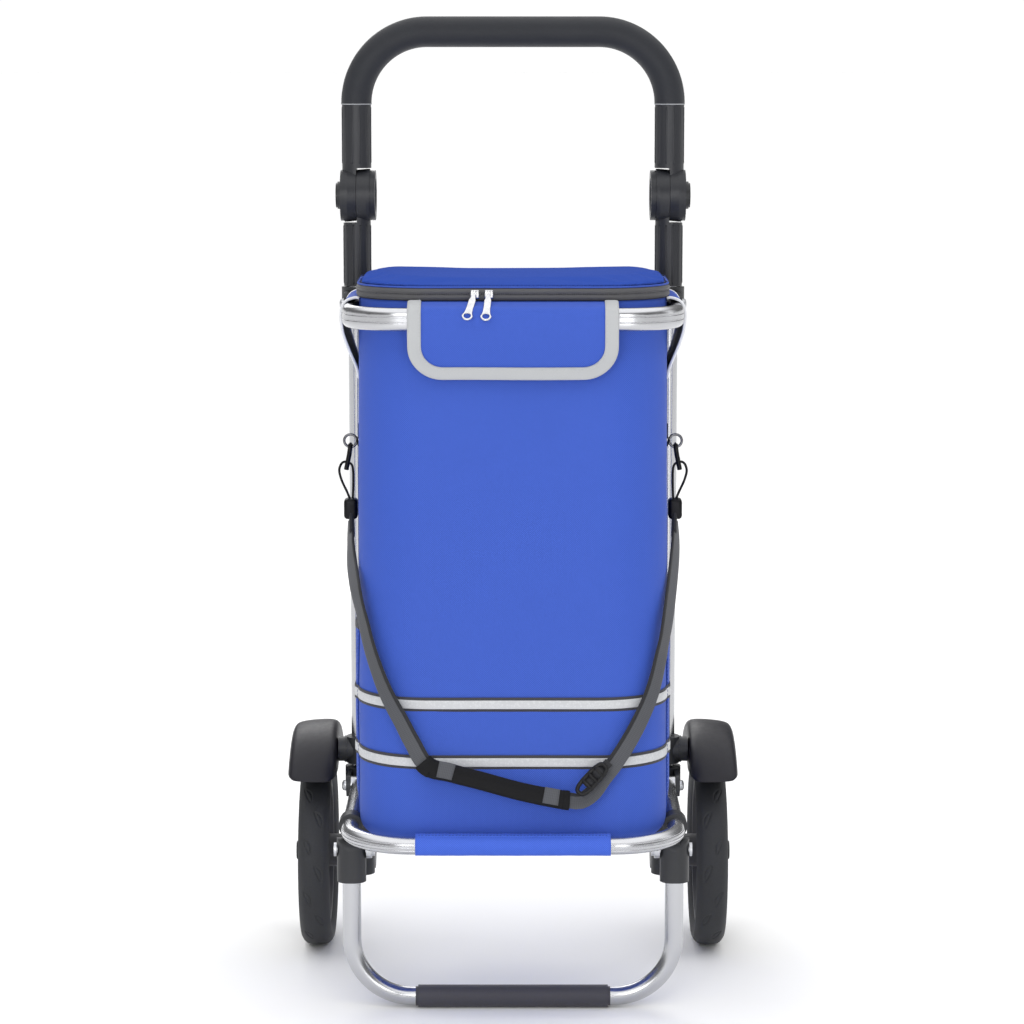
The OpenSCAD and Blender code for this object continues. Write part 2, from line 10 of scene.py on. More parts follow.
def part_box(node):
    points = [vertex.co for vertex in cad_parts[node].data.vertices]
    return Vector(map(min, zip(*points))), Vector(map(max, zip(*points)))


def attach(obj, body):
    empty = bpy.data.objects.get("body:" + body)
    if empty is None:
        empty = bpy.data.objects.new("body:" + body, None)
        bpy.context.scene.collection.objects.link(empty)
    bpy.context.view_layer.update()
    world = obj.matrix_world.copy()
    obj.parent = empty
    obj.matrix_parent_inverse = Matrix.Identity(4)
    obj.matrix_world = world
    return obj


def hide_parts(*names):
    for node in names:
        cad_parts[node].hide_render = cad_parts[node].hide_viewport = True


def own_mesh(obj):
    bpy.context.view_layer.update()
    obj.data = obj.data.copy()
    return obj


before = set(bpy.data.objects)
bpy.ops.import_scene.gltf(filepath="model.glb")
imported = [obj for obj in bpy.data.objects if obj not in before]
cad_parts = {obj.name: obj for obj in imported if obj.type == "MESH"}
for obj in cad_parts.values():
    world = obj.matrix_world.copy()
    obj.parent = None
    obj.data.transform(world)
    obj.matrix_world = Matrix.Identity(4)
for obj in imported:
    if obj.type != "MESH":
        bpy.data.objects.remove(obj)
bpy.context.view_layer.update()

MM = 0.001
RAIL_LO, RAIL_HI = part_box("rail_right")
RAIL_Y = (RAIL_LO[1] + RAIL_HI[1]) / 2
RAIL_X = 166
SIDES = (("left", -1), ("right", 1))

# Bag, in millimetres in the rails' frame
BAG_BOTTOM = 186
BAG_RIM = 733
BAG_HALF = 157
BASE_R = 20
FRONT_LOW = 286
FRONT_TOP = 224
BAG_BACK = 26
FRONT_R = 70
BACK_R = 18
ZIP_Z = BAG_RIM + 6
LID_Z = BAG_RIM + 12

# Hoops, foot and wheels
HOOP_Z = 715
HOOP_REACH = 243
PLATFORM_Z = 194
PLATFORM_REACH = 300
FOLD_Z = 828
PIVOT_D = -36
AXLE_D = 36
AXLE_Z = 104
TYRE_R = 104
WHEEL_X = 215
FENDER_X = 216.5


def P(x, d, z):
    """A point in the row frame, in metres, from millimetres in the rails' frame."""
    return Vector((x * MM, RAIL_Y + d * MM, z * MM))


# ---- camera, light and floor ----

CAMERA_DISTANCE = 3335
CAMERA_Z = 965
CAMERA_PITCH = 8.15
FOCAL_PX = 3120
SENSOR = 36


def make_camera():
    data = bpy.data.cameras.new("camera")
    data.sensor_width = SENSOR
    data.lens = FOCAL_PX * SENSOR / 1024
    data.shift_x = -1 / 1024
    data.clip_end = 900
    obj = bpy.data.objects.new("camera", data)
    obj.location = P(0, -CAMERA_DISTANCE, CAMERA_Z)
    obj.rotation_euler = (math.radians(90 - CAMERA_PITCH), 0, 0)
    bpy.context.scene.collection.objects.link(obj)
    bpy.context.scene.camera = obj


def area_light(name, place, target, size, power, colour=(1, 1, 1)):
    data = bpy.data.lights.new(name, "AREA")
    data.shape = "RECTANGLE"
    data.size, data.size_y = size
    data.energy = power
    data.color = colour
    obj = bpy.data.objects.new(name, data)
    obj.location = place
    obj.rotation_euler = (Vector(target) - Vector(place)).to_track_quat("-Z", "Y").to_euler()
    bpy.context.scene.collection.objects.link(obj)


def make_studio():
    world = bpy.data.worlds.new("studio")
    world.use_nodes = True
    tree = world.node_tree
    place = tree.nodes.new("ShaderNodeTexCoord")
    split = tree.nodes.new("ShaderNodeSeparateXYZ")
    ramp = tree.nodes.new("ShaderNodeValToRGB")
    tree.links.new(place.outputs["Generated"], split.inputs["Vector"])
    tree.links.new(split.outputs["Z"], ramp.inputs["Fac"])
    tree.links.new(ramp.outputs["Color"], tree.nodes["Background"].inputs["Color"])
    tree.nodes["Background"].inputs["Strength"].default_value = 1.5
    stops = ramp.color_ramp.elements
    walls = ((0.0, 0.68), (0.03, 0.68), (0.08, 0.12), (0.5, 0.16), (0.72, 1.1))
    while len(stops) < len(walls):
        stops.new(0.5)
    for stop, (height, grey) in zip(stops, walls):
        stop.position = height
        stop.color = (grey, grey, grey, 1)
    bpy.context.scene.world = world
    area_light("key", (-0.7, -3.1, 1.4), (0, 0, 0.45), (1.3, 1.5), 26)
    area_light("fill", (0.9, -3.1, 0.9), (0, 0, 0.4), (1.0, 1.4), 13)
    area_light("back", (-0.6, 3.0, 1.9), (0, 0, 0.5), (2.0, 1.2), 24)
    area_light("side", (3.0, 0.6, 1.5), (0, 0, 0.5), (1.2, 1.6), 6)
    mesh = bpy.data.meshes.new("floor")
    reach = 400
    corners = [(-reach, -reach, 0), (reach, -reach, 0), (reach, reach, 0), (-reach, reach, 0)]
    mesh.from_pydata(corners, [], [(0, 1, 2, 3)])
    floor = bpy.data.objects.new("floor", mesh)
    mesh.materials.append(plain_floor())
    bpy.context.scene.collection.objects.link(floor)
    bpy.context.scene.view_settings.view_transform = "Standard"


# ---- materials ----


class Shader:
    """A material's node tree, with short calls for the nodes that the materials here use."""

    def __init__(self, name, rough=0.5, metal=0.0, specular=0.5, sheen=0.0):
        self.material = bpy.data.materials.new(name)
        self.material.use_nodes = True
        self.tree = self.material.node_tree
        self.bsdf = self.tree.nodes["Principled BSDF"]
        for socket, value in (("Roughness", rough), ("Metallic", metal), ("Specular IOR Level", specular),
                              ("Sheen Weight", sheen)):
            self.bsdf.inputs[socket].default_value = value

    def node(self, kind, **settings):
        made = self.tree.nodes.new("ShaderNode" + kind)
        for key, value in settings.items():
            setattr(made, key, value)
        return made

    def feed(self, socket, value):
        if hasattr(value, "default_value") or hasattr(value, "links"):
            self.tree.links.new(value, socket)
        else:
            socket.default_value = value

    def coords(self, source="Object", scale=(1, 1, 1), rotate=(0, 0, 0)):
        if source == "UV":
            origin = self.node("UVMap", uv_map="cloth").outputs["UV"]
        else:
            origin = self.node("TexCoord").outputs[source]
        mapping = self.node("Mapping")
        mapping.inputs["Scale"].default_value = scale
        mapping.inputs["Rotation"].default_value = rotate
        self.feed(mapping.inputs["Vector"], origin)
        return mapping.outputs["Vector"]

    def noise(self, vector, scale, detail=3.0):
        made = self.node("TexNoise")
        made.inputs["Scale"].default_value = scale
        made.inputs["Detail"].default_value = detail
        made.inputs["Roughness"].default_value = 0.55
        self.feed(made.inputs["Vector"], vector)
        return made.outputs["Fac"]

    def bands(self, vector, period, direction, distortion=0.0):
        """Bands that repeat every period millimetres."""
        made = self.node("TexWave", wave_type="BANDS", bands_direction=direction)
        made.inputs["Scale"].default_value = math.tau / 20 / (period * MM)
        made.inputs["Distortion"].default_value = distortion
        made.inputs["Detail"].default_value = 1.0
        self.feed(made.inputs["Vector"], vector)
        return made.outputs["Fac"]

    def voronoi(self, vector, scale):
        made = self.node("TexVoronoi")
        made.inputs["Scale"].default_value = scale
        self.feed(made.inputs["Vector"], vector)
        return made.outputs["Distance"]

    def math(self, operation, a, b=0.0):
        made = self.node("Math", operation=operation)
        self.feed(made.inputs[0], a)
        self.feed(made.inputs[1], b)
        return made.outputs[0]

    def ramp(self, value, stops):
        made = self.node("ValToRGB")
        points = made.color_ramp.elements
        while len(points) < len(stops):
            points.new(0.5)
        for point, (place, colour) in zip(points, stops):
            point.position = place
            point.color = (*colour, 1)
        self.feed(made.inputs["Fac"], value)
        return made.outputs["Color"]

    def span(self, value, low, high):
        made = self.node("MapRange")
        made.inputs["To Min"].default_value = low
        made.inputs["To Max"].default_value = high
        self.feed(made.inputs["Value"], value)
        return made.outputs["Result"]

    def mix(self, factor, a, b):
        made = self.node("Mix", data_type="RGBA")
        self.feed(made.inputs["Factor"], factor)
        for socket, value in ((made.inputs[6], a), (made.inputs[7], b)):
            self.feed(socket, value if hasattr(value, "links") else (*value, 1))
        return made.outputs[2]

    def colour(self, value):
        self.feed(self.bsdf.inputs["Base Color"], value)

    def rough(self, value, low, high):
        self.feed(self.bsdf.inputs["Roughness"], self.span(value, low, high))

    def bump(self, height, distance, strength=1.0):
        made = self.node("Bump")
        made.inputs["Distance"].default_value = distance
        made.inputs["Strength"].default_value = strength
        previous = self.bsdf.inputs["Normal"].links
        if previous:
            self.feed(made.inputs["Normal"], previous[0].from_socket)
        self.feed(made.inputs["Height"], height)
        self.feed(self.bsdf.inputs["Normal"], made.outputs["Normal"])


def shade(colour, factor):
    return tuple(min(1.0, c * factor) for c in colour)


def plain_floor():
    s = Shader("floor_pale", rough=0.85, specular=0.1)
    grain = s.noise(s.coords(), 3)
    s.colour(s.ramp(grain, [(0.0, (0.92, 0.92, 0.92)), (1.0, (0.95, 0.95, 0.95))]))
    return s.material


def woven(name, colour, pitch=2.3, source="UV", sheen=0.02, bump=0.0002, rough=0.66, contrast=0.22,
          specular=0.26):
    """Plain-woven cloth: threads over and under at a pitch in millimetres, uneven yarn and slight fading."""
    s = Shader(name, rough=rough, specular=specular, sheen=sheen)
    s.bsdf.inputs["Sheen Roughness"].default_value = 0.45
    place = s.coords(source)
    warp = s.bands(place, pitch, "X", 0.3)
    weft = s.bands(place, pitch * 0.86, "Y", 0.3)
    over = s.math("MULTIPLY", warp, weft)
    under = s.math("MULTIPLY", s.math("SUBTRACT", 1.0, warp), s.math("SUBTRACT", 1.0, weft))
    weave = s.math("ADD", over, under)
    yarn = s.noise(place, 900, 2)
    cloudy = s.noise(s.coords(), 9, 4)
    thread = s.math("ADD", s.math("MULTIPLY", weave, 0.7), s.math("MULTIPLY", yarn, 0.3))
    low, high = shade(colour, 1 - contrast * 1.6), shade(colour, 1 + contrast * 1.5)
    base = s.ramp(thread, [(0.1, low), (0.55, colour), (0.95, high)])
    faded = s.mix(s.span(cloudy, 0.0, 0.55), base, shade(colour, 1.12))
    s.colour(faded)
    s.rough(yarn, rough - 0.08, rough + 0.12)
    s.bump(weave, bump, 0.55)
    s.bump(cloudy, 0.0015, 0.25)
    return s.material


def webbing(name, colour):
    """Ribbed webbing: ribs across the strap, a smooth selvedge and woven threads."""
    s = Shader(name, rough=0.62, specular=0.3, sheen=0.15)
    place = s.coords("UV")
    ribs = s.bands(place, 1.76, "Y", 0.2)
    lines = s.bands(place, 2.6, "X", 0.1)
    yarn = s.noise(place, 1200, 2)
    mixed = s.math("ADD", s.math("MULTIPLY", ribs, 0.5), s.math("MULTIPLY", s.math("ADD", lines, yarn), 0.25))
    s.colour(s.ramp(mixed, [(0.1, shade(colour, 0.82)), (0.5, colour), (0.95, shade(colour, 1.16))]))
    s.rough(yarn, 0.5, 0.75)
    s.bump(mixed, 0.0002, 0.35)
    return s.material


def plastic(name, colour, rough=0.42, specular=0.45):
    """Moulded plastic: spark-eroded grain, slight colour drift and scuffs that are smoother."""
    s = Shader(name, rough=rough, specular=specular)
    place = s.coords()
    fine = s.noise(place, 1400, 2)
    broad = s.noise(place, 14, 4)
    scuff = s.noise(s.coords(scale=(1, 1, 0.2)), 160, 5)
    grained = s.ramp(fine, [(0.2, shade(colour, 0.85)), (0.8, shade(colour, 1.15))])
    s.colour(s.mix(s.span(broad, 0, 0.7), grained, shade(colour, 1.25)))
    s.rough(scuff, rough - 0.1, rough + 0.12)
    s.bump(fine, 0.00012, 0.35)
    return s.material


def foam(name, colour):
    """Closed-cell foam: fine open pores and a soft, uneven skin."""
    s = Shader(name, rough=0.6, specular=0.32, sheen=0.1)
    place = s.coords()
    pores = s.voronoi(place, 1500)
    skin = s.noise(place, 60, 4)
    porous = s.ramp(pores, [(0.0, shade(colour, 0.6)), (0.5, colour), (1.0, shade(colour, 1.25))])
    s.colour(s.mix(s.span(skin, 0, 0.6), porous, shade(colour, 1.15)))
    s.rough(skin, 0.48, 0.7)
    s.bump(pores, 0.0002, 0.35)
    s.bump(skin, 0.0006, 0.2)
    return s.material


def aluminium(name, stretch):
    """Drawn and anodised tube: fine lines along the axis whose stretch is small, and faint handling marks."""
    colour, rough = (0.52, 0.525, 0.545), 0.24
    s = Shader(name, rough=rough, metal=1.0)
    lines = s.noise(s.coords(scale=stretch), 1600, 3)
    marks = s.noise(s.coords(), 25, 5)
    s.colour(s.ramp(lines, [(0.25, shade(colour, 0.95)), (0.75, shade(colour, 1.04))]))
    wear = s.math("ADD", s.math("MULTIPLY", lines, 0.15), s.math("MULTIPLY", marks, 0.85))
    s.rough(wear, rough - 0.04, rough + 0.06)
    s.bump(lines, 0.000004, 0.1)
    return s.material


def metal(name, colour, rough):
    """Plated metal with fine scratches."""
    s = Shader(name, rough=rough, metal=1.0)
    lines = s.noise(s.coords(scale=(1, 0.15, 1)), 300, 4)
    s.colour(s.ramp(lines, [(0.2, shade(colour, 0.85)), (0.8, shade(colour, 1.1))]))
    s.rough(lines, max(0.04, rough - 0.06), rough + 0.1)
    s.bump(lines, 0.00003, 0.25)
    return s.material


def reflective(name):
    """Reflective tape: a fine cell pattern under a smooth film."""
    s = Shader(name, rough=0.42, specular=0.4)
    cells = s.voronoi(s.coords("UV"), 420)
    drift = s.noise(s.coords(), 20, 3)
    base = s.ramp(cells, [(0.0, (0.62, 0.63, 0.65)), (0.6, (0.50, 0.51, 0.53))])
    s.colour(s.mix(s.span(drift, 0, 0.5), base, (0.55, 0.56, 0.58)))
    s.rough(cells, 0.28, 0.48)
    s.bump(cells, 0.00008, 0.3)
    return s.material


def rubber(name, colour):
    """Tyre rubber: moulded skin, dusty in places."""
    s = Shader(name, rough=0.6, specular=0.35)
    skin = s.noise(s.coords(), 500, 4)
    dust = s.noise(s.coords(), 18, 5)
    base = s.ramp(skin, [(0.2, shade(colour, 0.8)), (0.8, shade(colour, 1.2))])
    s.colour(s.mix(s.span(dust, 0.0, 0.45), base, shade(colour, 1.7)))
    s.rough(dust, 0.5, 0.72)
    s.bump(skin, 0.0002, 0.35)
    return s.material


BLUE = (0.038, 0.092, 0.46)
MATERIALS = {}


def make_materials():
    m = MATERIALS
    m["cloth"] = woven("bag_cloth", BLUE)
    # The lid's cloth is the bag's blue darkened to 0.8: painted shade, for a top face that is lit less than the
    # bag's front.
    m["cloth_lid_painted_shade"] = woven("lid_cloth_painted_shade", shade(BLUE, 0.80), source="Object", sheen=0.0, rough=0.9,
                           specular=0.03)
    m["cloth_sleeve"] = woven("sleeve_cloth", shade(BLUE, 1.25))
    m["lining"] = woven("grey_lining", (0.06, 0.062, 0.07), pitch=1.2)
    m["binding"] = woven("grey_binding", (0.43, 0.44, 0.45), pitch=0.9, contrast=0.08, bump=0.00012)
    m["piping"] = woven("white_piping", (0.72, 0.73, 0.76), pitch=0.9, contrast=0.06, bump=0.0001)
    m["band_edge"] = woven("band_edging", (0.045, 0.045, 0.055), pitch=0.9, sheen=0.1)
    m["band"] = reflective("reflective_tape")
    m["zip"] = woven("zip_cover", (0.085, 0.085, 0.09), pitch=0.8, sheen=0.1, rough=0.5, contrast=0.1,
                     bump=0.0001)
    # Near-black cloth for thin tubes along the zip covers' outer edges: painted shade in the creases where they
    # meet the bag and the lid.
    m["zip_crease_shade"] = woven("zip_crease_painted_shade", (0.02, 0.02, 0.03), pitch=0.8, sheen=0.1)
    m["teeth"] = metal("zip_teeth", (0.16, 0.16, 0.17), 0.35)
    m["strap"] = webbing("strap_webbing", (0.07, 0.073, 0.083))
    # This darker webbing paints the shade along one side of the strap, where its edge is seen side-on, and also
    # colours the ring tabs, the strap's end through the slider and the tucks.
    m["strap_dark"] = webbing("strap_webbing_dark_and_painted_shade", (0.014, 0.0145, 0.018))
    m["pad"] = woven("pad_cloth", (0.008, 0.008, 0.009), pitch=1.1, specular=0.15)
    m["thread"] = woven("thread", shade(BLUE, 0.35), pitch=0.5)
    m["thread_light"] = woven("thread_light", (0.4, 0.41, 0.43), pitch=0.5)
    m["plastic"] = plastic("black_plastic", (0.020, 0.021, 0.024))
    m["socket"] = plastic("dark_tube", (0.018, 0.019, 0.023), rough=0.38, specular=0.38)
    m["fender"] = plastic("fender_plastic", (0.009, 0.0085, 0.013), rough=0.42, specular=0.26)
    m["rim"] = plastic("wheel_plastic", (0.05, 0.05, 0.055), rough=0.5)
    m["buckle"] = plastic("buckle_plastic", (0.008, 0.008, 0.009), rough=0.5, specular=0.25)
    m["board"] = plastic("base_board", (0.03, 0.032, 0.035), rough=0.6)
    m["foam"] = foam("grip_foam", (0.016, 0.0175, 0.0225))
    m["foot_foam"] = foam("foot_foam", (0.05, 0.049, 0.062))
    m["tyre"] = rubber("tyre_rubber", (0.024, 0.025, 0.028))
    m["rail"] = aluminium("rail_aluminium", (1, 1, 0.02))
    m["hoop"] = aluminium("hoop_aluminium", (1, 1, 1))
    m["bar"] = aluminium("bar_aluminium", (0.02, 1, 1))
    m["steel"] = metal("zinc_steel", (0.55, 0.56, 0.58), 0.32)
    m["ring"] = metal("dark_ring", (0.16, 0.16, 0.17), 0.25)
    m["chrome"] = metal("zip_chrome", (0.60, 0.60, 0.62), 0.22)
    m["hook"] = metal("black_hook", (0.02, 0.02, 0.022), 0.42)


CAD_LOOKS = {
    "rail": ("rail_left", "rail_right"),
    "bar": ("cross_bar", "platform_slats"),
    "hoop": ("top_hoop", "platform_hoop", "foot_tube"),
    "socket": ("handle_socket_left", "handle_socket_right", "upper_tube_left", "upper_tube_right"),
    "plastic": (
        "hoop_brackets", "platform_brackets", "fender_clamps", "axle_bracket_left", "axle_bracket_right",
        "axle_caps", "foot_lugs", "foot_sockets", "fold_button_left", "fold_button_right"),
    "steel": (
        "fold_pins", "pivot_pins", "foot_pins", "axles", "button_spring_left", "button_spring_right",
        "bushes_left", "bushes_right", "handle_bow"),
    "foam": ("handle_grip",),
    "foot_foam": ("foot_grip",),
    "rim": ("rim_left", "rim_right"),
}
BEVELS = {
    "hoop_brackets": 0.8, "platform_brackets": 0.8, "fender_clamps": 0.8, "axle_bracket_left": 1.2,
    "axle_bracket_right": 1.2, "axle_caps": 0.8, "foot_lugs": 0.8, "foot_sockets": 1.0, "foot_pins": 0.6,
    "pivot_pins": 0.4, "fold_button_left": 0.6, "fold_button_right": 0.6, "rim_left": 0.8, "rim_right": 0.8,
    "handle_socket_left": 1.0, "handle_socket_right": 1.0, "upper_tube_left": 1.0, "upper_tube_right": 1.0,
    "platform_slats": 0.6,
}


def dress_cad():
    for look, nodes in CAD_LOOKS.items():
        for node in nodes:
            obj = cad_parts[node]
            obj.data.materials.clear()
            obj.data.materials.append(MATERIALS[look])
    for node, width in BEVELS.items():
        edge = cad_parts[node].modifiers.new("edges", "BEVEL")
        edge.width = width * MM
        edge.segments = 2
        edge.limit_method = "ANGLE"
        edge.angle_limit = math.radians(40)
        edge.harden_normals = False


# ---- mesh tools ----


def add_mesh(name, points, faces, material, uvs=None):
    """A new object from points in the row frame. uvs is one (u, v) in metres for each point."""
    mesh = bpy.data.meshes.new(name)
    mesh.from_pydata([tuple(p) for p in points], [], faces)
    mesh.materials.append(MATERIALS[material])
    if uvs is not None:
        layer = mesh.uv_layers.new(name="cloth")
        for loop in mesh.loops:
            layer.data[loop.index].uv = uvs[loop.vertex_index]
    mesh.polygons.foreach_set("use_smooth", [True] * len(mesh.polygons))
    mesh.update()
    obj = bpy.data.objects.new(name, mesh)
    bpy.context.scene.collection.objects.link(obj)
    return obj


def grid_faces(rows, columns, wrap_rows=False, wrap_columns=False):
    faces = []
    for i in range(rows if wrap_rows else rows - 1):
        for j in range(columns if wrap_columns else columns - 1):
            a, b = i * columns + j, i * columns + (j + 1) % columns
            c, d = ((i + 1) % rows) * columns + (j + 1) % columns, ((i + 1) % rows) * columns + j
            faces.append((a, b, c, d))
    return faces


def grid(name, rows, material, uvs=None, wrap_rows=False, wrap_columns=False, caps=False):
    """A surface through rows of points."""
    columns = len(rows[0])
    faces = grid_faces(len(rows), columns, wrap_rows, wrap_columns)
    if caps:
        faces.append(tuple(range(columns - 1, -1, -1)))
        faces.append(tuple((len(rows) - 1) * columns + j for j in range(columns)))
    flat = [p for row in rows for p in row]
    flat_uv = [p for row in uvs for p in row] if uvs else None
    return add_mesh(name, flat, faces, material, flat_uv)


def place(obj, body, slot, squash=False):
    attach(obj, body)
    if squash:
        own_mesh(obj)
    return obj


def on_frame(obj, slot="bag_cloth"):
    """A soft piece on the frame: parented to the frame's body, with a mesh of its own."""
    return place(obj, "frame", slot, squash=True)


def settle(obj):
    """Applies the object's modifiers to its mesh."""
    bpy.context.view_layer.update()
    graph = bpy.context.evaluated_depsgraph_get()
    mesh = bpy.data.meshes.new_from_object(obj.evaluated_get(graph))
    obj.modifiers.clear()
    obj.data = mesh
    mesh.polygons.foreach_set("use_smooth", [True] * len(mesh.polygons))
    return obj


def modifier(obj, kind, **settings):
    made = obj.modifiers.new(kind.lower(), kind)
    for key, value in settings.items():
        setattr(made, key, value)
    return made


def turn(count):
    """Angles of count places evenly round a full turn."""
    return np.linspace(0, math.tau, count, endpoint=False)


def eased(value, power):
    """A sine or cosine raised to a power with its sign kept, which squares up a round section."""
    return math.copysign(abs(value) ** power, value)


def frames_along(path, hint):
    """For each point of a path: the direction and two sides square to it, the first nearest to hint."""
    found = []
    side = Vector(hint)
    for i, point in enumerate(path):
        ahead = (path[min(i + 1, len(path) - 1)] - path[max(i - 1, 0)]).normalized()
        side = (side - ahead * side.dot(ahead)).normalized()
        found.append((point, ahead, side, ahead.cross(side)))
    return found


def sweep(name, path, profile, material, hint=(0, 0, 1), hints=None, closed=False):
    """A profile of (a, b) pairs in millimetres carried along a path in metres. a points along hint."""
    rows, uvs = [], []
    length = 0.0
    around = [0.0]
    for p, q in zip(profile, profile[1:]):
        around.append(around[-1] + math.dist(p, q) * MM)
    turns = frames_along(path, hint)
    for i, (point, ahead, side, other) in enumerate(turns):
        if hints is not None:
            side = (hints[i] - ahead * hints[i].dot(ahead)).normalized()
            other = ahead.cross(side)
        if i:
            length += (point - path[i - 1]).length
        rows.append([point + side * a * MM + other * b * MM for a, b in profile])
        uvs.append([(u, length) for u in around])
    return grid(name, rows, material, uvs, wrap_rows=closed, wrap_columns=True, caps=not closed)


def round_profile(radius, count=12):
    angles = [math.tau * i / count for i in range(count)]
    return [(radius * math.cos(a), radius * math.sin(a)) for a in angles]


def flat_profile(width, thick):
    """A flat strap's section with round edges, width along the second side."""
    half, t = width / 2, thick / 2
    edge = [(t * math.cos(a), half - t + t * math.sin(a)) for a in np.linspace(0, math.pi, 5)]
    other = [(-x, -y) for x, y in edge]
    upper = [(t, y) for y in np.linspace(-half + t, half - t, 5)[1:-1]]
    lower = [(-x, -y) for x, y in upper]
    return edge + lower + other + upper


def smooth_path(points, step=6.0):
    """A Catmull-Rom curve through points in metres, cut into pieces about step millimetres long."""
    path = []
    for i in range(len(points) - 1):
        p0, p1 = points[max(i - 1, 0)], points[i]
        p2, p3 = points[i + 1], points[min(i + 2, len(points) - 1)]
        count = max(2, round((p2 - p1).length / (step * MM)))
        for k in range(count):
            t = k / count
            path.append(0.5 * (2 * p1 + (p2 - p0) * t + (2 * p0 - 5 * p1 + 4 * p2 - p3) * t * t
                               + (3 * p1 - p0 - 3 * p2 + p3) * t ** 3))
    path.append(points[-1])
    return path


def stitches(name, path, normals, material, pitch=4.0, length=2.8, width=0.5, lift=0.15):
    """A row of stitches: each is a small rounded bar that lies along the path."""
    points, faces = [], []
    along, target = 0.0, pitch / 2
    for i in range(1, len(path)):
        span = (path[i] - path[i - 1]).length / MM
        while span > 1e-6 and along + span >= target:
            t = (target - along) / span
            centre = path[i - 1].lerp(path[i], t)
            ahead = (path[i] - path[i - 1]).normalized()
            up = normals[i - 1].lerp(normals[i], t).normalized()
            side = up.cross(ahead).normalized()
            base = len(points)
            for u, w, h in ((-0.5, 0.35, 0.0), (-0.25, 1.0, 1.0), (0.25, 1.0, 1.0), (0.5, 0.35, 0.0)):
                for a in range(6):
                    angle = math.tau * a / 6
                    rise = math.sin(angle) * width * w / 2 + lift * h
                    offset = side * math.cos(angle) * width * w / 2 + up * rise
                    points.append(centre + ahead * u * length * MM + offset * MM)
            for k in range(3):
                for a in range(6):
                    b, ring = (a + 1) % 6, base + k * 6
                    faces.append((ring + a, ring + b, ring + 6 + b, ring + 6 + a))
            faces.append(tuple(base + 5 - a for a in range(6)))
            faces.append(tuple(base + 18 + a for a in range(6)))
            target += pitch
        along += span
    return add_mesh(name, points, faces, material, [(0.0, 0.0)] * len(points))


def thicken(obj, thick, offset, **settings):
    """Gives a surface its thickness in millimetres. offset says to which side."""
    modifier(obj, "SOLIDIFY", thickness=thick * MM, offset=offset, **settings)
    return settle(obj)


def puff(obj, pressure, cap, pinned=None, last=16):
    """Swells cloth with Blender's Cloth, moves no point more than cap millimetres, and applies the result."""
    scene = bpy.context.scene
    rest = np.array([v.co for v in obj.data.vertices])
    cloth = obj.modifiers.new("cloth", "CLOTH")
    cloth.settings.quality = 5
    cloth.settings.use_pressure = True
    cloth.settings.uniform_pressure_force = pressure
    cloth.settings.effector_weights.gravity = 0
    if pinned is not None:
        group = obj.vertex_groups.new(name="pinned")
        group.add([int(i) for i in np.nonzero(pinned)[0]], 1.0, "REPLACE")
        cloth.settings.vertex_group_mass = "pinned"
    cloth.point_cache.frame_start = 1
    cloth.point_cache.frame_end = last
    for number in range(1, last + 1):
        scene.frame_set(number)
    graph = bpy.context.evaluated_depsgraph_get()
    swollen = np.array([v.co for v in obj.evaluated_get(graph).data.vertices])
    obj.modifiers.clear()
    obj.vertex_groups.clear()
    scene.frame_set(1)
    move = swollen - rest
    size = np.linalg.norm(move, axis=1, keepdims=True)
    move *= np.minimum(1.0, cap * MM / np.maximum(size, 1e-9))
    obj.data.vertices.foreach_set("co", (rest + move).ravel())
    obj.data.update()
    return obj


# ---- the bag's outline ----


def base_curve(z):
    """How far the wall draws in where it rounds into the base."""
    low = max(0.0, BAG_BOTTOM + BASE_R - z)
    return BASE_R - math.sqrt(max(BASE_R ** 2 - low ** 2, 0.0))


def bag_front(z):
    return FRONT_TOP + (FRONT_LOW - FRONT_TOP) * (BAG_RIM - z) / (BAG_RIM - BAG_BOTTOM) - base_curve(z)


def bag_half(z):
    return BAG_HALF - base_curve(z)


def narrowed(x, d, z):
    """Draws the bag's back corners in where the hoops' brackets stand beside them."""
    tight = 6.5 * (smooth_step((z - 650) / 40) + smooth_step((222 - z) / 10)) * smooth_step((d + 78) / 26)
    return x - math.copysign(tight, x)


def outline(half, front, s, front_r=FRONT_R, back_r=BACK_R, back=BAG_BACK):
    """Point and outward normal at s millimetres round the outline from its front middle, +X for s > 0."""
    side = 1 if s >= 0 else -1
    s = abs(s)
    straight = half - front_r
    quarter = front_r * math.pi / 2
    depth = front - back - front_r - back_r
    if s <= straight:
        x, d, nx, nd = s, -front, 0.0, -1.0
    elif s <= straight + quarter:
        a = (s - straight) / front_r
        nx, nd = math.sin(a), -math.cos(a)
        x, d = straight + front_r * nx, -front + front_r + front_r * nd
    elif s <= straight + quarter + depth:
        x, d, nx, nd = half, -front + front_r + (s - straight - quarter), 1.0, 0.0
    elif s <= straight + quarter + depth + back_r * math.pi / 2:
        a = (s - straight - quarter - depth) / back_r
        nx, nd = math.cos(a), math.sin(a)
        x, d = half - back_r + back_r * nx, -back - back_r + back_r * nd
    else:
        rest = s - straight - quarter - depth - back_r * math.pi / 2
        x, d, nx, nd = half - back_r - rest, -back, 0.0, 1.0
    return side * x, d, side * nx, nd


def half_round(half, front, front_r=FRONT_R, back_r=BACK_R, back=BAG_BACK):
    """Half the length of the outline."""
    sides = (half - front_r) + front_r * math.pi / 2 + (front - back - front_r - back_r)
    return sides + back_r * math.pi / 2 + half - back_r


def s_of_depth(d, z):
    """The place round the outline, on the +X side, at depth d behind the rails' plane."""
    half, front = bag_half(z), bag_front(z)
    return (half - FRONT_R) + FRONT_R * math.pi / 2 + (d + front - FRONT_R)


BAG_TREE = {}


